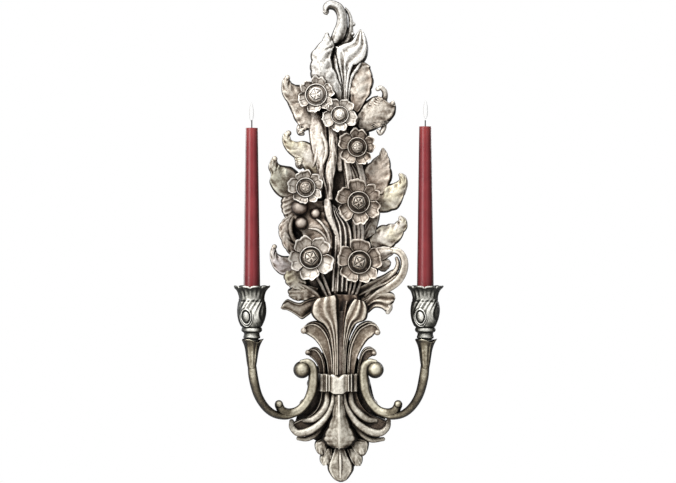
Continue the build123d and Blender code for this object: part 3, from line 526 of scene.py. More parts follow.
# ---- stems, berries and ground ------------------------------------------------------------------------
stems = [
    stem([(-34, 12, -30, 3), (-29, 13, -46, 3.6), (-28, 13, -70, 4), (-25, 12, -100, 4.5)], grooves=3),
    stem([(4, 11, -18, 6), (3, 12, -40, 6.5), (0, 13, -56, 6), (2, 12, -72, 4)], grooves=4, groove=0.14),
    stem([(10, 10, -62, 6), (13, 11, -80, 6), (16, 11, -104, 6)], grooves=5, groove=0.2),
    stem([(26, 10, -64, 5.5), (31, 11, -82, 6), (34, 11, -104, 6)], grooves=5, groove=0.2),
    stem([(-15, 18, -116, 5), (-14, 19, -124, 5.6), (-12, 19, -136, 4.6), (-6, 18, -150, 3.6),
          (-1, 17, -165, 3), (1, 16, -186, 2.8), (-1, 15, -210, 2.6),
          (-4, 14, -238, 2.6)], grooves=3, groove=0.2, start=1.0),
    leaf([(-10, -118, -4, -122, 11), (-10, -132, 4, -134, 13), (-8, -148, 16, -146, 14),
          (-7, -166, 20, -162, 14), (-8, -190, 20, -186, 14), (-10, -212, 16, -210, 13),
          (-11, -238, 14, -238, 12)],
         thick=6, crown=2.5, ribs=4, rib=1.5, rim=(0.4, 0.4), ripple=0.5, steps=(110, 49)),
    stem([(20, 14, -144, 2.8), (22, 14, -160, 3), (21, 14, -178, 3)], grooves=3),
    stem([(31, 13, -146, 3.8), (32, 13, -160, 4), (30, 13, -178, 4)], grooves=3),
    stem([(26, 13, -144, 3.0), (27, 14, -160, 3.2), (26, 13, -178, 3.2)], grooves=3),
    stem([(-32, 17, -137, 1.4), (-22, 18, -146, 1.8), (-14, 17, -160, 2), (-10, 16, -178, 2)]),
    stem([(-40, 17, -152, 1.2), (-28, 18, -154, 1.8), (-18, 17, -164, 2), (-13, 16, -180, 2)]),
    stem([(-26, 12, -146, 3.2), (-17, 14, -152, 3.6), (-13, 15, -166, 3.4), (-14, 14, -180, 3.2)]),
    stem([(18, 12, -216, 1.8), (16, 14, -230, 2), (13, 14, -246, 2)]),
    stem([(24, 12, -218, 1.8), (21, 14, -232, 2), (16, 14, -248, 2)]),
    stem([(31, 12, -218, 2), (27, 14, -232, 2.2), (20, 14, -250, 2.2)]),
    stem([(-30, 12, -216, 2.2), (-23, 13, -228, 2.6), (-16, 13, -244, 2.6)], grooves=3),
    stem([(-22, 12, -214, 2), (-17, 14, -226, 2.4), (-11, 14, -242, 2.4)], grooves=3),
]
trunk = [
    stem([(-27, 15, -12, 2.4), (-22, 18, -26, 3.2), (-17, 19, -38, 3.4), (-16.5, 19, -51, 3.4),
          (-20, 18.5, -62, 3), (-24.5, 18, -74, 2.6), (-23, 17, -90, 2.2)], flat=1.2),
    stem([(-37, 14, -20, 2), (-31, 17, -31, 2.6), (-28.5, 18, -44, 2.8), (-30.5, 18, -58, 2.6),
          (-34, 16, -68, 2)]),
    stem([(-2, 16, -34, 2), (-6, 19, -44, 2.6), (-7, 20, -56, 2.8), (-9, 20, -68, 2.6),
          (-14, 19, -80, 2.2)]),
    leaf([(-44, 8, -24, 4, 9), (-42, -8, -16, -6, 11), (-40, -24, -14, -20, 13), (-38, -40, -13, -36, 14),
          (-34, -56, -13, -50, 14), (-30, -70, -17, -66, 14), (-26, -82, -18, -80, 14),
          (-21, -96, -14, -96, 14), (-17, -114, -10, -114, 14)],
         thick=6, crown=4.5, peak=0.2, rim=(0.6, 1.2), ribs=1, rib=1.0, ripple=0.8, ripples=3, veins=5,
         vein=0.6),
    leaf([(-18, 4, 4, 4, 12), (-15.5, -10, 2, -10, 14), (-14, -24, 0, -22, 15), (-13.5, -38, -0.5, -40, 16),
          (-13, -52, -1, -58, 16), (-17, -66, -3, -72, 16), (-18, -82, -6, -86, 16),
          (-15, -98, -7, -100, 16), (-15, -114, -7.5, -114, 15)],
         thick=6, crown=4.5, peak=-0.1, rim=(1.0, 0.8), ripple=0.8, ripples=3, veins=6, vein=0.5)]
foliage("trunk", trunk, trunk_look)
fill_leaves = [
    leaf([(-2, -20, 14, -18, 9), (-2, -36, 22, -34, 9), (-2, -52, 24, -56, 9), (2, -62, 20, -64, 9)],
         thick=6, crown=2, ribs=2, rib=1.0, veins=4),
    leaf([(5, -62, 26, -66, 8), (6, -76, 36, -76, 9), (7, -92, 46, -92, 9), (8, -108, 50, -106, 9)],
         thick=6, crown=1, ribs=6, rib=1.6),
    leaf([(44, -128, 54, -116, 7), (34, -150, 56, -134, 9), (34, -168, 50, -158, 9)], thick=6, crown=2,
         veins=4)]
foliage("filling_leaves", fill_leaves, foliage_look)
foliage("stems", stems, trunk_look)
curls = [
    stem([(-57, 11, -132, 2.6), (-63, 13, -142, 3), (-64.5, 14, -154, 3.2), (-60, 14, -166, 3),
          (-52, 13, -174, 2.6)]),
    stem([(66, 13, -184, 4.2), (75, 15, -181.5, 4.8), (84, 16, -186, 5.4), (88.5, 16, -197, 5.8),
          (86.5, 16, -210, 6.4), (79, 15, -222, 7), (67, 14, -231, 7), (53, 13, -239, 6.2),
          (42, 12, -248, 5), (36, 11, -256, 4)], grooves=4, groove=0.22, start=0.9),
    stem([(78, 14, -192, 2.4), (80, 15, -199, 3), (77, 15, -208, 3.4), (69, 14, -216, 3.6),
          (58, 13, -223, 3.6), (46, 12, -231, 3.4), (36, 11, -243, 3)]),
    stem([(-62, 10, -224, 3), (-50, 12, -228, 3.4), (-38, 13, -234, 3.6), (-28, 13, -243, 3.8),
          (-22, 12, -256, 4)],
         grooves=3, groove=0.2),
]
foliage("curled_stems", curls, vase_look)
berries = [ball(-52, 17, -124, 11.3), ball(-31, 16, -132, 7.6), ball(-50, 17, -145, 8.8)]
foliage("berries", berries, berry_look)
ground = leaf(
    [(0, 112, 14, 112, 6.5), (-18, 98, 26, 98, 6), (-28, 82, 28, 80, 5.5), (-31, 62, 27, 62, 5.5),
     (-38, 40, 30, 42, 5.5), (-50, 22, 30, 22, 5.5), (-47, 4, 34, 4, 5.5), (-38, -14, 40, -14, 5.5),
     (-31, -34, 42, -34, 5.5), (-28, -56, 38, -56, 5.5), (-34, -74, 44, -76, 5.5), (-50, -94, 52, -98, 5.5),
     (-62, -116, 56, -118, 5.5), (-64, -140, 46, -140, 5.5), (-60, -164, 44, -160, 5.5),
     (-56, -188, 54, -184, 5.5), (-54, -210, 54, -208, 5.5), (-42, -232, 44, -232, 5.5),
     (-30, -252, 34, -252, 5.5), (-20, -270, 20, -270, 5.5), (-9, -282, 9, -282, 5.5),
     (-9, -318, 9, -318, 5.5)],
    thick=5, crown=0.6, rim=(0, 0), back=0.0, hollow=3.5, steps=(170, 41))
hanger_seat = leaf([(-23, 25, 23, 25, 6.5), (-23, 12, 23, 12, 6.5), (-23, 0, 23, 0, 6.5),
                    (-23, -15, 23, -15, 6.5)],
                   thick=8.8, crown=0, rim=(0, 0), back=2.05, steps=(12, 25))
foliage("foliage_ground", [ground, hanger_seat], ground_look)


# ---- flowers ------------------------------------------------------------------------------------------
def blossom(x, depth, z, reach, petals, turn, seed):
    """Petals as one turned surface. The reach falls at each cleft, dips at each petal's notch and varies a
    little between petals; the front is a shallow dish that rises outwards, with a lip folded over along
    its edge, one side of a petal lying over the next, and a soft crease or two down its middle."""
    around = 48 * petals
    vary = np.random.default_rng(seed)
    way = np.linspace(0, 1, 44)[:, None]
    angle = np.linspace(0, 2 * PI, around, endpoint=False)[None, :]
    turns = (angle - turn) * petals / (2 * PI) + 0.5
    number = np.floor(turns).astype(int) % petals
    phase = turns % 1 - 0.5
    size = vary.uniform(-0.05, 0.04, petals)[number] * (1 - np.abs(2 * phase) ** 4)
    swing = vary.uniform(0, 2 * PI, petals)[number]
    outline = 1 - 0.27 * np.abs(2 * phase) ** 3.6 - 0.05 * bump_at(phase, 0.02, 0.07) + size
    outline = outline + 0.032 * np.cos(2 * PI * 3 * phase + swing) * (1 - np.abs(2 * phase) ** 4)
    outline = outline + 0.03 * np.sin(2 * PI * phase + 2 * swing)
    radius = reach * way * outline ** (way**1.3)
    inside = 1 - (1 - np.abs(2 * phase)) * 0.5
    hollow = -0.05 * reach * np.sin(PI * np.clip((way - 0.35) / 0.65, 0, 1)) * (1 - np.abs(2 * phase) ** 3)
    front = 2.2 + 0.17 * reach * way**2 + hollow + 0.9 * bump_at(way, 0.93, 0.05) * (1 - 0.4 * inside)
    front = front + 3.4 * phase * ease(way, 0.4, 0.8)
    front = front - 1.6 * bump_at(np.abs(phase), 0.5, 0.03) * ease(way, 0.35, 0.75)
    front = front + 0.7 * np.cos(2 * PI * 2 * phase + swing) * ease(way, 0.5, 0.95)
    front = front - 0.7 * bump_at(phase, 0.03, 0.035) * ease(way, 0.5, 0.8)
    rear = front - 3.0 * np.sqrt(1 - way**8)
    across = np.concatenate([radius, radius[-2::-1]])
    return spun((x, depth, z), across, np.concatenate([front, rear[-2::-1]]), out=True)


def collar(x, depth, z, ring):
    """A round bead standing on a low disc: the disc's height is even and the bead is a narrow ridge at the
    ring radius."""
    way = np.concatenate([np.linspace(0, 1, 70), np.linspace(1, 0, 8)])[:, None]
    height = 1.6 + 2.4 * np.exp(-(((way - 0.92) / 0.06) ** 4))
    height[70:] = -2.0
    height[69] = -1.0
    return spun((x, depth, z), 1.087 * ring * way + np.zeros(96), height + np.zeros(96), out=True)


def button(x, depth, z, radius, sides, turn, carving):
    """A ball set in its collar, with a bud cut in its crown as deep as the carving share: a polygon step, a
    crease along each corner and a facet between creases."""
    angle = np.linspace(0, 2 * PI, 144, endpoint=False)[None, :]
    way = np.sin(np.linspace(0, PI / 2, 48))[:, None]
    part = ((angle - turn) * sides / (2 * PI)) % 1 - 0.5
    corner = np.cos(PI / sides) / np.cos(part * 2 * PI / sides)
    inside = way / (0.70 * corner)
    crown = 0.72 * radius * np.sqrt(np.clip(1 - 0.97 * way**2, 0, 1))
    bud = 0.10 * radius * ease(inside, 1.04, 0.95) - 0.12 * radius * bump_at(inside, 1.09, 0.06)
    crease = 0.09 * radius * bump_at(np.abs(part), 0.5, 0.045)
    crease = crease * ease(inside, 0.05, 0.25) * ease(inside, 1.0, 0.85)
    petal = 0.05 * radius * np.cos(2 * PI * part) * ease(inside, 0.1, 0.5) * ease(inside, 1.0, 0.9)
    front = 1.0 + crown + carving * (bud - crease + petal - 0.06 * radius * bump_at(way, 0, 0.10))
    reach = np.concatenate([radius * way + 0 * angle,
                            radius * np.array([1.0, 0.98, 0.0])[:, None] + 0 * angle])
    height = np.concatenate([front, np.array([0.0, -1.5, -1.5])[:, None] + 0 * angle])
    return spun((x, depth, z), reach, height, out=True)


# Flower number: reach, ball radius, ring radius, petals, turn, sides of the bud, finish.
FLOWERS = {1: (24.5, 10.8, 14.2, 6, 0.35, 5, top_flower_look),
           2: (23.5, 8.0, 11.4, 5, 0.95, 4, top_flower_look),
           3: (25.5, 8.8, 12.4, 5, 0.2, 5, flower_look), 4: (23.5, 8.8, 12.4, 5, 0.5, 5, pale_flower_look),
           5: (31, 10.8, 14.3, 6, 0.62, 5, flower_look),
           6: (30.5, 12.0, 14.5, 5, 0.85, 5, pale_flower_look),
           7: (30.5, 11.6, 15.0, 5, 0.25, 4, flower_look)}
for number, (reach, radius, ring, petals, turn, sides, look) in FLOWERS.items():
    x, _, z = centre_of(f"flower_button_{number}")
    seat = -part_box(f"flower_head_{number}")[1].y / MM
    petal_shell = blossom(x, seat, z, reach, petals, turn, number)
    bead = collar(x, seat + 2.2, z, ring)
    root = 0.3 * reach
    post = stem([(x, 6 + root, z, root), (x + 0.01, 10 + root, z, root), (x, seat - 2, z, root)], count=8)
    piece(f"petals_{number}", [petal_shell, bead, post], f"flower_head_{number}", look)
    bud = button(x, seat + 4.0, z, radius, sides, turn + 0.3, 0.9 if radius > 10.5 else 0.5)
    shine = bud_look if number > 2 else pale_flower_look
    piece(f"bud_{number}", [bud], f"flower_button_{number}", shine)

# ---- vase, fronds and band ----------------------------------------------------------------------------
vase_left = leaf(
    [(-8, -350, 0, -350, 20), (-8, -330, 0, -330, 21), (-9.5, -311, 0, -311, 22), (-13, -293, 0, -292, 24),
     (-20, -281, 0, -276, 26), (-31, -274, 0, -264, 28), (-36.5, -266, 0, -255, 30),
     (-36.5, -258, 0, -249, 31), (-34, -251, -1, -244, 31), (-30, -246, -3, -240.5, 30)],
    thick=4, crown=5.5, peak=0.3, rim=(1.4, 2.2), ribs=3, rib=1.0, steps=(100, 33))
vase_right = leaf(
    [(5, -350, 10, -350, 19), (5, -330, 10.5, -330, 20), (5.6, -311, 12, -309, 21),
     (6.5, -292, 17, -291, 23), (7.5, -276, 24, -280, 25), (9.5, -264, 36, -275, 27),
     (13, -256, 39.5, -266, 28), (17, -250, 39, -257, 28), (21, -246, 35, -249, 27)],
    thick=4, crown=5, peak=-0.2, rim=(2.4, 1.4), ribs=3, rib=1.0, steps=(100, 33))
flute = leaf(
    [(-1, -350, 6, -350, 18), (-1, -311, 7, -311, 19.5), (-2, -280, 9, -280, 22.5),
     (-4, -258, 20, -262, 25), (-6, -248, 30, -252, 26), (-6, -240, 27, -241, 26)],
    thick=5, crown=-2, rim=(0.2, 0.2), ribs=3, rib=0.8)
flute_ridge = stem([(4.6, 20, -350, 1.1), (4.8, 22, -320, 1.2), (6, 24.5, -290, 1.3), (8, 27.5, -268, 1.4),
                    (11, 28.5, -250, 1.3)],
                   around=14)
bracket("vase_flute", [flute, flute_ridge], dark_look)
vase_core = leaf(
    [(-9, -352, 10, -352, 12), (-10, -330, 11, -330, 13), (-14, -300, 15, -300, 14),
     (-22, -280, 24, -280, 15), (-28, -262, 30, -262, 15)],
    thick=12, crown=5, rim=(0, 0))
mouth = leaf([(-30, -262, 32, -262, 7), (-26, -252, 28, -252, 7), (-18, -244, 20, -242, 7),
              (-8, -238, 10, -237, 7)],
             thick=4, crown=0, rim=(0, 0), steps=(20, 15))
bracket("vase_left_leaf", [vase_left], vase_look)
bracket("vase_right_leaf", [vase_right], frond_look)
bracket("vase_core", [vase_core, mouth], ground_look)
FRONDS = {
    "frond_upper_left": [
        (-14, -350, -6, -350, 17), (-16, -332, -6.5, -330, 17), (-20.5, -320, -8, -311, 18),
        (-26, -309, -10.5, -297, 19), (-33, -300.5, -15.5, -286, 20), (-41, -295, -22, -279, 21),
        (-46, -292.5, -31, -276, 22), (-48.5, -291, -41, -279, 23), (-49.5, -289, -47.5, -286, 23)],
    "frond_lower_left": [
        (-25, -350, -17, -350, 13), (-27, -339, -18, -334, 14), (-31, -331.5, -21, -322, 15),
        (-36, -326, -27, -313, 16), (-40.5, -322.5, -34, -311.5, 17), (-43.5, -320.5, -41, -315.5, 17)],
    "frond_upper_right": [
        (11, -350, 21, -350, 17), (11.5, -330, 23.5, -333, 17), (13, -311, 27, -322, 18),
        (17, -297, 32, -312, 19), (24, -284, 39, -302, 20), (32, -278, 45.5, -297, 21),
        (41, -276, 50.5, -291.5, 22), (50, -280, 53.5, -291, 23), (54.5, -287, 53.5, -293, 23)],
    "frond_lower_right": [
        (24, -350, 33, -350, 13), (27, -330, 35, -337, 14), (30.5, -318, 39, -328, 15),
        (36, -312, 44, -324, 16), (43, -311, 47.5, -323, 17), (49.5, -315, 49, -322.5, 17)],
}
for name, rows in FRONDS.items():
    rim, share = ((0.6, 2.8), 0.74) if "left" in name else ((2.8, 0.6), 0.26)
    blade = leaf(rows, thick=4, crown=-1.4, rim=rim, steps=(80, 27))
    bead = leaf([(*edges, depth - 4) for *edges, depth in rows], thick=7, crown=0, rim=(0, 0))
    edge_path = [(share * xr + (1 - share) * xl, depth + 1.6, share * zr + (1 - share) * zl, 1.2)
                 for xl, zl, xr, zr, depth in rows]
    bracket(name, [blade, bead], frond_look)
    bracket(name + "_rim", [stem(edge_path, around=12)], vase_look)
frond_tips = [ball(-46.5, 24, -289, 4.2), ball(-41, 18, -318.5, 3.8), ball(52, 24, -291, 4.2),
              ball(47.5, 18, -319.5, 3.8)]
bracket("frond_tips", frond_tips, vase_look)


def strap():
    """The band over the vase's neck: a sheet across x and down z. Its depth is half an ellipse plus narrow
    ridges for pleats and a domed middle panel, and its lower edge dips at the panel."""
    x = np.linspace(-27.5, 27.5, 111)[None, :]
    down = np.linspace(0, 1, 24)[:, None]
    top = -347 - 5.2 * bump_at(x, 0, 5.5) - 1.0 * bump_at(np.abs(x), 13, 3)
    bottom = -370.3 - 3.6 * np.exp(-(((x + 0.5) / 9.5) ** 6)) - 0.9 * bump_at(np.abs(x), 20, 5)
    z = top + (bottom - top) * down
    pleats = 2.4 * bump_at(x, -12.5, 1.3) + 1.6 * bump_at(x, -16.2, 1.1) + 2.4 * bump_at(x, 13.5, 1.3)
    pleats = pleats + 2.0 * bump_at(x, 17.5, 1.1)
    pleats = pleats + 1.4 * bump_at(np.abs(x), 25, 1.6) - 1.4 * bump_at(np.abs(x), 20.5, 1.6)
    panel = 2.6 * np.exp(-(((x + 0.8) / 8.8) ** 6)) * (0.75 + 0.25 * np.sin(PI * down))
    roll = 0.9 * np.sqrt(np.clip(1 - (2 * down - 1) ** 10, 0, 1))
    depth = 8 + 17.5 * np.sqrt(np.clip(1 - (x / 27.6) ** 2, 0, 1)) ** 0.75 + pleats + panel + roll
    front = np.stack([x + 0 * down, depth, z], -1)
    rear = np.stack([x * 0.93 + 0 * down, depth - 2.8, z], -1)
    return skin(np.concatenate([front, rear[:, ::-1]], axis=1))


piece("band", [strap()], "clasp_band", band_look)

# ---- lower bracket ------------------------------------------------------------------------------------
LOWER = {
    "dish_left": [
        [(-24, -371, -5, -371, 12), (-26, -384, -7, -386, 13), (-32, -396, -12, -400, 14),
         (-42, -404, -20, -414, 15), (-52, -408, -36, -423, 16), (-60, -412, -50, -427, 17),
         (-64, -416, -60, -424, 18)]],
    "dish_right": [
        [(5, -371, 25, -371, 12), (9, -386, 29, -384, 13), (14, -400, 36, -394, 14),
         (22, -413, 46, -402, 15), (38, -424, 56, -406, 16), (52, -428, 64, -410, 17),
         (63, -424, 67, -414, 18)]],
    "side_petals": [
        [(-21, -434, -12, -440, 9), (-31, -438, -14, -446, 11), (-32, -446, -16, -451, 12),
         (-28.5, -453.5, -18.5, -455, 13), (-24, -456.5, -21, -457, 13)],
        [(-20, -448, -8, -448, 9), (-25, -457, -7.5, -457, 11), (-25, -465, -9, -463, 12),
         (-21, -470.5, -13, -468.5, 13)],
        [(14, -440, 24, -434, 9), (16, -446, 39.5, -437, 11), (20, -452, 40.5, -446, 12),
         (27, -456, 37, -454.5, 13), (30, -458, 34, -457.5, 13)],
        [(11, -449, 22, -447, 9), (13.5, -458, 31.5, -456, 11), (18, -467, 32.5, -464, 12),
         (23, -471, 30, -470.5, 13)]],
    "finial": [
        [(-5, -446, 8, -446, 12), (-10, -458, 14, -458, 13), (-14.5, -468, 20, -468, 14),
         (-14.5, -476, 20.5, -476, 14), (-10.5, -483.5, 16, -484, 14), (-5.5, -489.5, 11, -490, 13),
         (0.5, -492.5, 6, -492.5, 12)]],
}
DISH_RELIEF = dict(crown=-1.5, rim=(1.4, 1.4))
LEAF_RELIEF = dict(crown=3.4, rim=(1.0, 1.0), veins=2, vein=0.5)
for name, lobes in LOWER.items():
    dished = name.startswith("dish")
    relief = DISH_RELIEF if dished else LEAF_RELIEF
    shells = []
    for rows in lobes:
        core = [(0.85 * xl + 0.15 * xr, zl, 0.85 * xr + 0.15 * xl, zr, 7) for xl, zl, xr, zr, _ in rows]
        shells.append(leaf(rows, thick=6, steps=(80, 29), **relief))
        shells.append(leaf(core, thick=4, crown=0, rim=(0, 0), steps=(30, 15)))
    bracket(name, shells, frond_look if dished else base_look)
ROLLS = [
    [(-6.5, 19, -374, 3), (-8, 20, -388, 3.8), (-15, 21, -403, 4.4), (-27, 22, -416, 5),
     (-41, 22, -424, 5.4), (-54, 21, -426, 5), (-62, 20, -419, 4.2), (-63, 19, -411, 3.4)],
    [(-15, 15, -374, 4), (-16, 17, -388, 5), (-23, 18, -400, 5.6), (-34, 18, -408.5, 5.4),
     (-46, 17, -410, 3.6)],
    [(-20, 13, -416, 3), (-30, 15, -428, 3.6), (-42, 15, -434.5, 3.4), (-54, 14, -434, 2.8)],
    [(7, 19, -374, 3), (9, 20, -388, 3.8), (16, 21, -402, 4.4), (27, 22, -415, 5), (42, 22, -424, 5.4),
     (56, 21, -426, 5), (65, 20, -419, 4.2), (67, 19, -410, 3.4)],
    [(16, 15, -374, 4), (18, 17, -388, 5), (26, 18, -399, 5.6), (38, 18, -408, 5.4), (50, 17, -410, 3.6)],
    [(20, 13, -416, 3), (31, 15, -428, 3.6), (44, 15, -436, 3.6), (60, 14, -435, 2.8)],
]
bracket("scroll_rolls", [stem(path, flat=1.1, grooves=2, groove=0.22, start=PI) for path in ROLLS],
        base_look)
bell_leaf = leaf(
    [(-4, -374, 6, -374, 19), (-5, -384, 7, -384, 20), (-8, -400, 10, -400, 21),
     (-12.5, -414, 15, -414, 21), (-18, -425, 20.5, -424, 20), (-21, -434, 24.5, -433, 19),
     (-17, -440, 20.5, -439.5, 18), (-10, -445, 13, -445, 17), (-3, -448, 6, -448, 16)],
    thick=6, crown=1.5, keel=9, peak=0.0, rim=(1.0, 1.0), ribs=2, rib=0.7, scallop=1.6, scallops=7)
ridges = [stem([(0.6, 28.6, -376, 1.2), (0.7, 31.2, -400, 1.3), (0.8, 31.6, -424, 1.4),
                (0.9, 29.5, -438, 1.5), (1, 26, -446, 1.6)]),
          stem([(2, 18, -450, 1.6), (2.4, 20.6, -462, 1.8), (2.6, 21, -474, 1.8), (2.4, 19, -486, 1.6)])]
bracket("bell_leaf", [bell_leaf], base_look)
bracket("leaf_ridges", ridges, band_look)
bracket_ground = leaf(
    [(-12, -296, 12, -296, 4.5), (-20, -314, 20, -314, 4.5), (-27, -334, 30, -334, 4.5),
     (-38, -350, 40, -350, 4.5), (-41, -364, 44, -364, 4.5), (-44, -380, 48, -380, 4.5),
     (-52, -396, 56, -396, 4.5), (-58, -411, 64, -411, 4.5), (-56, -422, 62, -424, 4.5),
     (-48, -431, 54, -434, 4.5), (-30, -438, 34, -440, 4.5), (-22, -448, 30, -450, 4.5),
     (-20, -464, 26, -466, 4.5), (-10, -478, 15, -480, 4.5)],
    thick=4, crown=0.5, rim=(0, 0), back=0.0, hollow=3.0, steps=(120, 41))
bosses = [stem([(x, 9, z, 6.6), (x + 0.01, 14, z, 6.6), (x, 20, z, 6.2)], count=8)
          for x, z in ((-36, -360), (36, -360), (-46, -388), (46, -388))]
bracket("bracket_ground", [bracket_ground, *bosses], ground_look)

# ---- arms, cups and candles ----------------------------------------------------------------------------
SWEEP = [(58, 26, -400, 4.6), (71, 31, -403, 5), (86, 42, -399, 5.4), (98, 54, -388, 5.8),
         (107, 67.5, -371, 6.2), (112, 79.5, -349, 6.7), (114, 85, -330, 6.1)]
SCROLL = [(49, 30, -331, 3.6), (41, 29, -331, 5), (35, 27, -338, 6.2), (34, 25, -352, 6.6),
          (36, 24, -370, 6.6), (43, 24.5, -385, 6), (54, 25.5, -396, 6.2), (66, 29, -399, 6.4),
          (75, 35, -395.5, 6.2), (79.5, 39.5, -388, 5.6)]


def calyx(x, depth):
    """The flared leafy sleeve under a cup. Its radius grows with the root and the fifth power of the way up,
    times three soft lobes, a cosine round it that rises with the cube of the way, and a fine ripple nine
    times round, plus three narrow ridges. Its lip waves up and down with the lobes."""
    way = np.linspace(0, 1, 40)[:, None]
    angle = np.linspace(0, 2 * PI, 96, endpoint=False)[None, :]
    height = -337 + 37.5 * way + 2.2 * way**4 * np.cos(3 * angle + 0.6)
    radius = 4.2 + 5.0 * way**0.5 + 4.6 * way**5
    lobes = 0.16 * way**3 * np.cos(3 * angle + 0.6)
    radius = radius * (1 + lobes + 0.03 * np.cos(9 * angle) * np.sin(PI * way))
    radius = radius + 0.5 * bump_at(np.cos(1.5 * angle + 0.3), 0, 0.12) * way
    inner = np.array([0.8, 0.4, 0.0])[:, None]
    lid = height[-1:] + np.array([-0.6, -1.4, -1.6])[:, None]
    return spun((x, depth, 0), np.concatenate([0 * radius[:1], radius, inner * radius[-1:]]),
                np.concatenate([height[:1] - 1, height, lid]))


CUP = [(0, -301), (9, -301), (9, -297.5), (10.6, -296.5), (11.2, -295), (10.4, -292), (10.4, -289.5),
       (12.6, -287.9), (13.6, -286), (13.2, -283.4), (12.2, -282), (13.6, -280.6), (15, -278), (16.6, -274),
       (17.8, -269), (18.4, -263), (18.3, -257), (17.4, -251), (16.8, -245), (17.2, -240), (18.9, -235),
       (21.6, -231.4), (23.6, -229.6), (24.1, -228.2), (23.4, -227.2), (21.4, -228), (19, -230),
       (16.6, -233), (14.5, -236), (13, -238.6), (12, -240.5), (11.5, -243), (11.5, -250), (11.5, -256),
       (8, -256), (8, -270), (8, -283), (2.7, -283), (0, -283)]


def cup(x, depth, turn):
    """A cup turned from its profile. Its reach round the axis falls between nine scallops at the lip, and
    adds a cosine for the fan of veins under it, ridges along a slanting sine for the strands below, and an
    oval boss, the root of 1 less the square of the distance in ovals, inside two ring ridges."""
    outside = smooth_line(CUP[:33], 230)
    inside = smooth_line(CUP[32:], 60)
    profile = np.concatenate([outside, inside[1:]])
    radius, height = profile[:, :1], profile[:, 1:]
    below_lip = 168  # rows of the profile on the outer wall, before the lip folds in
    outer = (np.arange(len(profile)) < below_lip)[:, None] * 1.0
    angle = np.linspace(0, 2 * PI, 288, endpoint=False)[None, :] + 0 * radius
    spin = (angle - turn + PI) % (2 * PI) - PI
    lip = bump_at(height, -228.5, 3.4)
    scallops = np.abs(np.cos(4.5 * spin)) ** 0.6
    radius_out = radius * (1 - 0.085 * lip * (1 - scallops))
    raised = height - 2.2 * lip * (1 - scallops) * (radius > 17)
    fan = ease(height, -246, -238) * outer
    veins = 0.5 * np.cos(18 * spin) * fan * (1 - lip * 0.4) * (0.6 + 0.4 * np.cos(spin - 0.5))
    slant = spin * 5 + 0.006 * (height + 264) ** 2 + 0.8 * np.sin(1.5 * spin + 0.12 * height)
    body = ease(height, -284, -279) * ease(height, -243, -248) * outer
    strands = (0.9 * bump_at(np.sin(slant), 0.8, 0.4) - 0.4 * bump_at(np.sin(slant), -0.6, 0.5)) * body
    strands = strands + 0.3 * np.sin(3 * slant + 0.1 * height) * body
    groove = -0.7 * bump_at(height, -247.5, 1.0) * outer
    oval = np.sqrt((spin * 17.6 / 5.2) ** 2 + ((height + 268) / 7.4) ** 2)
    boss = 2.2 * np.sqrt(np.clip(1 - oval**2, 0, 1))
    boss = boss + 1.3 * bump_at(oval, 1.34, 0.15) - 0.5 * bump_at(oval, 1.08, 0.08)
    boss = boss + 1.0 * bump_at(oval, 1.75, 0.12) * ease(height, -262, -268)
    radius_out = radius_out + (veins + groove) + strands * ease(oval, 1.2, 1.8) + boss * outer
    return spun((x, depth, 0), np.clip(radius_out, 0, None) * (radius > 0.01), raised)


def candle(x, depth, burnt):
    """A taper: straight in the socket, then narrowing to a shoulder that rolls over, with a shallow pool
    round the wick. Burnt is how far it has burnt down."""
    top = [(8.1, -26), (7.9, -20.6), (7.0, -18.6), (4.8, -18.2), (2.4, -19.4), (1.2, -19.8), (0, -19.9)]
    profile = np.concatenate([[(0, -255.8), (10.6, -255.8), (11, -255.4), (11, -228)],
                              smooth_line([(11, -228), (9.6, -130)] + [(r, z - burnt) for r, z in top],
                                          120)[1:]])
    angle = np.linspace(0, 2 * PI, 72, endpoint=False)[None, :]
    ripple = 1 + 0.004 * np.sin(3 * angle + 0.02 * profile[:, 1:]) + 0 * profile[:, :1]
    return spun((x, depth, 0), profile[:, :1] * ripple, profile[:, 1:] + 0 * angle)


def flame(x, depth, low, high, lean):
    """A still flame: its radius is the root of the way up times the way left to the power 0.7, so it is
    widest near the middle and drawn to a point. It is set a little to one side."""
    way = np.linspace(0, 1, 40)[:, None]
    angle = np.linspace(0, 2 * PI, 36, endpoint=False)[None, :]
    radius = 5.2 * np.sqrt(way) * (1 - way) ** 0.7 * 1.3 + 0 * angle
    return spun((x + lean, depth, 0), radius, low + (high - low) * way + 0 * angle)


def burgundy_wax_with_side_shade():
    """Dark red wax: cloudy on what faces the room, painted shade making it nearly black on the sides, paler
    near the shoulder, with a faint waxy unevenness from noise."""
    look = Look("burgundy_wax_with_side_shade")
    place = look.node("ShaderNodeTexCoord", output=3)
    cloud = look.noise(place, 60, 3)
    rise = look.node("ShaderNodeSeparateXYZ", None, {0: place}, output=2)
    normal = look.node("ShaderNodeNewGeometry", output=1)
    colour = look.mix(cloud.between(0.3, 0.7), (0.165, 0.016, 0.020), (0.21, 0.023, 0.027))
    # painted shade: the taper's sides, turned edge on to the room, go nearly black
    colour = look.mix(look.facing(normal).between(0.25, 1.0), (0.025, 0.002, 0.004), colour)
    colour = look.mix(rise.between(-0.05, -0.02) * 0.25, colour, (0.42, 0.08, 0.07))
    uneven = look.node("ShaderNodeBump", None,
                       {"Strength": 0.15, "Distance": 0.0005, "Height": look.noise(place, 240, 3)})
    return look.finish(Base_Color=colour, Roughness=cloud.between(-0.4, 1.6) * 0.3 + 0.24, Normal=uneven,
                       Subsurface_Weight=0.08, Subsurface_Scale=0.004)


def charred_wick():
    """Burnt string: black with fine grey noise."""
    look = Look("charred_wick")
    place = look.node("ShaderNodeTexCoord", output=3)
    ash = look.noise(place, 1500).between(0.4, 0.6)
    return look.finish(Base_Color=look.mix(ash, (0.012, 0.010, 0.009), (0.05, 0.035, 0.03)), Roughness=0.9)


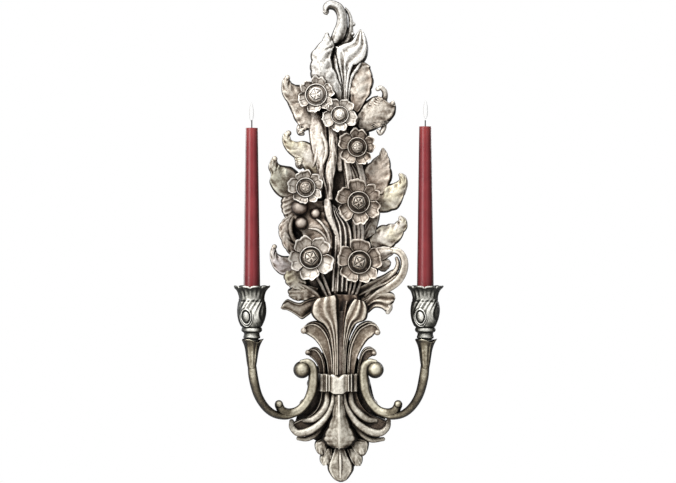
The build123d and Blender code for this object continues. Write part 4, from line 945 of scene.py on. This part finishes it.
def pale_flame():
    """A faint flame against a pale room: cream and nearly clear where it faces the room, grey and denser
    towards its outline."""
    look = Look("pale_flame")
    place = look.node("ShaderNodeTexCoord", output=3)
    normal = look.node("ShaderNodeNewGeometry", output=1)
    outline = look.node("ShaderNodeSeparateXYZ", None, {0: normal}, output=1) + 1
    colour = look.mix(outline.between(0.1, 0.9), (0.95, 0.92, 0.86), (0.16, 0.155, 0.15))
    alpha = outline.between(0.3, 0.85) * 0.85 + look.noise(place, 90) * 0.12
    return look.finish(Base_Color=colour, Roughness=0.6, Emission_Color=colour, Emission_Strength=0.1,
                       Alpha=alpha)


wax_look = burgundy_wax_with_side_shade()
wick_look = charred_wick()
flame_look = pale_flame()
CUP_OUT, CUP_DEPTH = 114, 85
BOSS_TURN = PI / 2 + 0.42  # the cups' oval bosses look a little to one side of straight ahead
FLAME_TALL = 25
# Side: its sign, how far its candle has burnt down, and the foot of its flame.
SIDES = {"left": (-1, 3.4, -11.5), "right": (1, 1.6, -8.5)}
for side, (sign, burnt, low) in SIDES.items():
    x = sign * CUP_OUT
    sweep = [(sign * across, *rest) for across, *rest in SWEEP]
    scroll = [(sign * across, *rest) for across, *rest in SCROLL]
    arm = {"bough": [stem(sweep, flat=0.94, grooves=2, groove=0.06),
                     stem(scroll, flat=1.1, grooves=2, groove=0.30, start=PI)],
           "ball": [ball(sign * 49, 27, -341, 11.6), ball(sign * 79.5, 40, -386.5, 5.7)],
           "calyx": [calyx(x, CUP_DEPTH)]}
    for part, shells in arm.items():
        piece(f"{side}_arm_{part}", shells, f"{side}_arm", arm_look)
    piece(f"{side}_cup_relief", [cup(x, CUP_DEPTH, BOSS_TURN)], f"{side}_cup", cup_look)
    taper = candle(x, CUP_DEPTH, burnt)
    piece(f"{side}_taper", [taper], f"{side}_candle", wax_look, body=f"{side}_candle")
    light = flame(x, CUP_DEPTH, low, low + FLAME_TALL, 0.4 * sign)
    piece(f"{side}_flame", [light], None, flame_look, body=f"{side}_candle")


# ---- fixings: CAD nodes shown as they are ---------------------------------------------------------------
def plated_steel():
    """Zinc plate: grey with a cloudy bloom and fine grain, both from noise."""
    look = Look("zinc_plated_steel")
    place = look.node("ShaderNodeTexCoord", output=3)
    cloud = look.noise(place, 300, 4)
    colour = look.mix(cloud.between(0.35, 0.65), (0.34, 0.34, 0.33), (0.50, 0.49, 0.46))
    grain = look.node("ShaderNodeBump", None,
                      {"Strength": 0.2, "Distance": 0.0003, "Height": look.noise(place, 900)})
    return look.finish(Base_Color=colour, Metallic=0.9, Roughness=cloud * 0.3 + 0.22, Normal=grain)


steel_look = plated_steel()
SHOWN_NODES = {steel_look: ("joining_screws", "cup_screws", "arm_screws", "keyhole_hanger",
                            "hanger_screws"),
               wick_look: ("left_wick", "right_wick")}
for look, names in SHOWN_NODES.items():
    for name in names:
        bpy.data.objects[name].data.materials.clear()
        bpy.data.objects[name].data.materials.append(look)

# ---- floor, light and camera ----------------------------------------------------------------------------
FLOOR_Z = -0.78


def pale_floor():
    """Plain pale paint with a faint cloud from noise."""
    look = Look("pale_floor")
    cloud = look.noise(look.node("ShaderNodeTexCoord", output=3), 6)
    colour = look.mix(cloud.between(0.3, 0.7), (0.80, 0.79, 0.77), (0.86, 0.85, 0.83))
    return look.finish(Base_Color=colour, Roughness=0.8)


bpy.ops.mesh.primitive_circle_add(vertices=96, radius=1.5, fill_type="NGON", location=(0, -0.4, FLOOR_Z))
floor = bpy.context.object
floor.name = "pale_floor"
floor.data.materials.append(pale_floor())


def lamp(name, at, aim, size, power):
    """A square soft light at a place, turned towards another."""
    light = bpy.data.lights.new(name, "AREA")
    light.energy, light.size = power, size
    holder = bpy.data.objects.new(name, light)
    holder.location = at
    holder.rotation_euler = (Vector(aim) - Vector(at)).to_track_quat("-Z", "Y").to_euler()
    bpy.context.collection.objects.link(holder)


lamp("key", (-1.0, -1.3, 1.35), (0, 0, -0.15), 0.5, 66)
lamp("fill", (1.2, -2.2, 0.0), (0, 0, -0.2), 1.0, 4)
lamp("left", (-1.4, -1.55, 0.0), (0, 0, -0.2), 0.5, 12)
lamp("top", (0.1, -0.3, 1.4), (0, 0, -0.1), 0.6, 8)
lamp("back_left", (1.3, 1.7, 0.5), (0, 0, -0.15), 1.0, 22)
lamp("back_right", (-1.5, 1.2, 0.0), (0, 0, -0.15), 1.0, 14)
world = bpy.data.worlds.new("studio")
bpy.context.scene.world = world
world.use_nodes = True
sky = world.node_tree.nodes
sky.clear()
seen = sky.new("ShaderNodeLightPath")
strength = sky.new("ShaderNodeMapRange")
strength.inputs["To Min"].default_value = 0.2  # light that the white room throws on the sconce
strength.inputs["To Max"].default_value = 1.0  # the room as it is seen
background = sky.new("ShaderNodeBackground")
background.inputs["Color"].default_value = (1, 1, 1, 1)
output = sky.new("ShaderNodeOutputWorld")
world.node_tree.links.new(seen.outputs["Is Camera Ray"], strength.inputs["Value"])
world.node_tree.links.new(strength.outputs[0], background.inputs["Strength"])
world.node_tree.links.new(background.outputs[0], output.inputs["Surface"])
bpy.context.scene.view_settings.view_transform = "Standard"

EYE = (-0.0007, -3.2, -0.1694)  # straight in front of the sconce's middle
LENS, SENSOR = 126.23, 36.0
lens = bpy.data.cameras.new("view")
lens.lens, lens.sensor_width = LENS, SENSOR
camera = bpy.data.objects.new("view", lens)
camera.location = EYE
camera.rotation_euler = (PI / 2, 0, 0)
bpy.context.collection.objects.link(camera)
bpy.context.scene.camera = camera
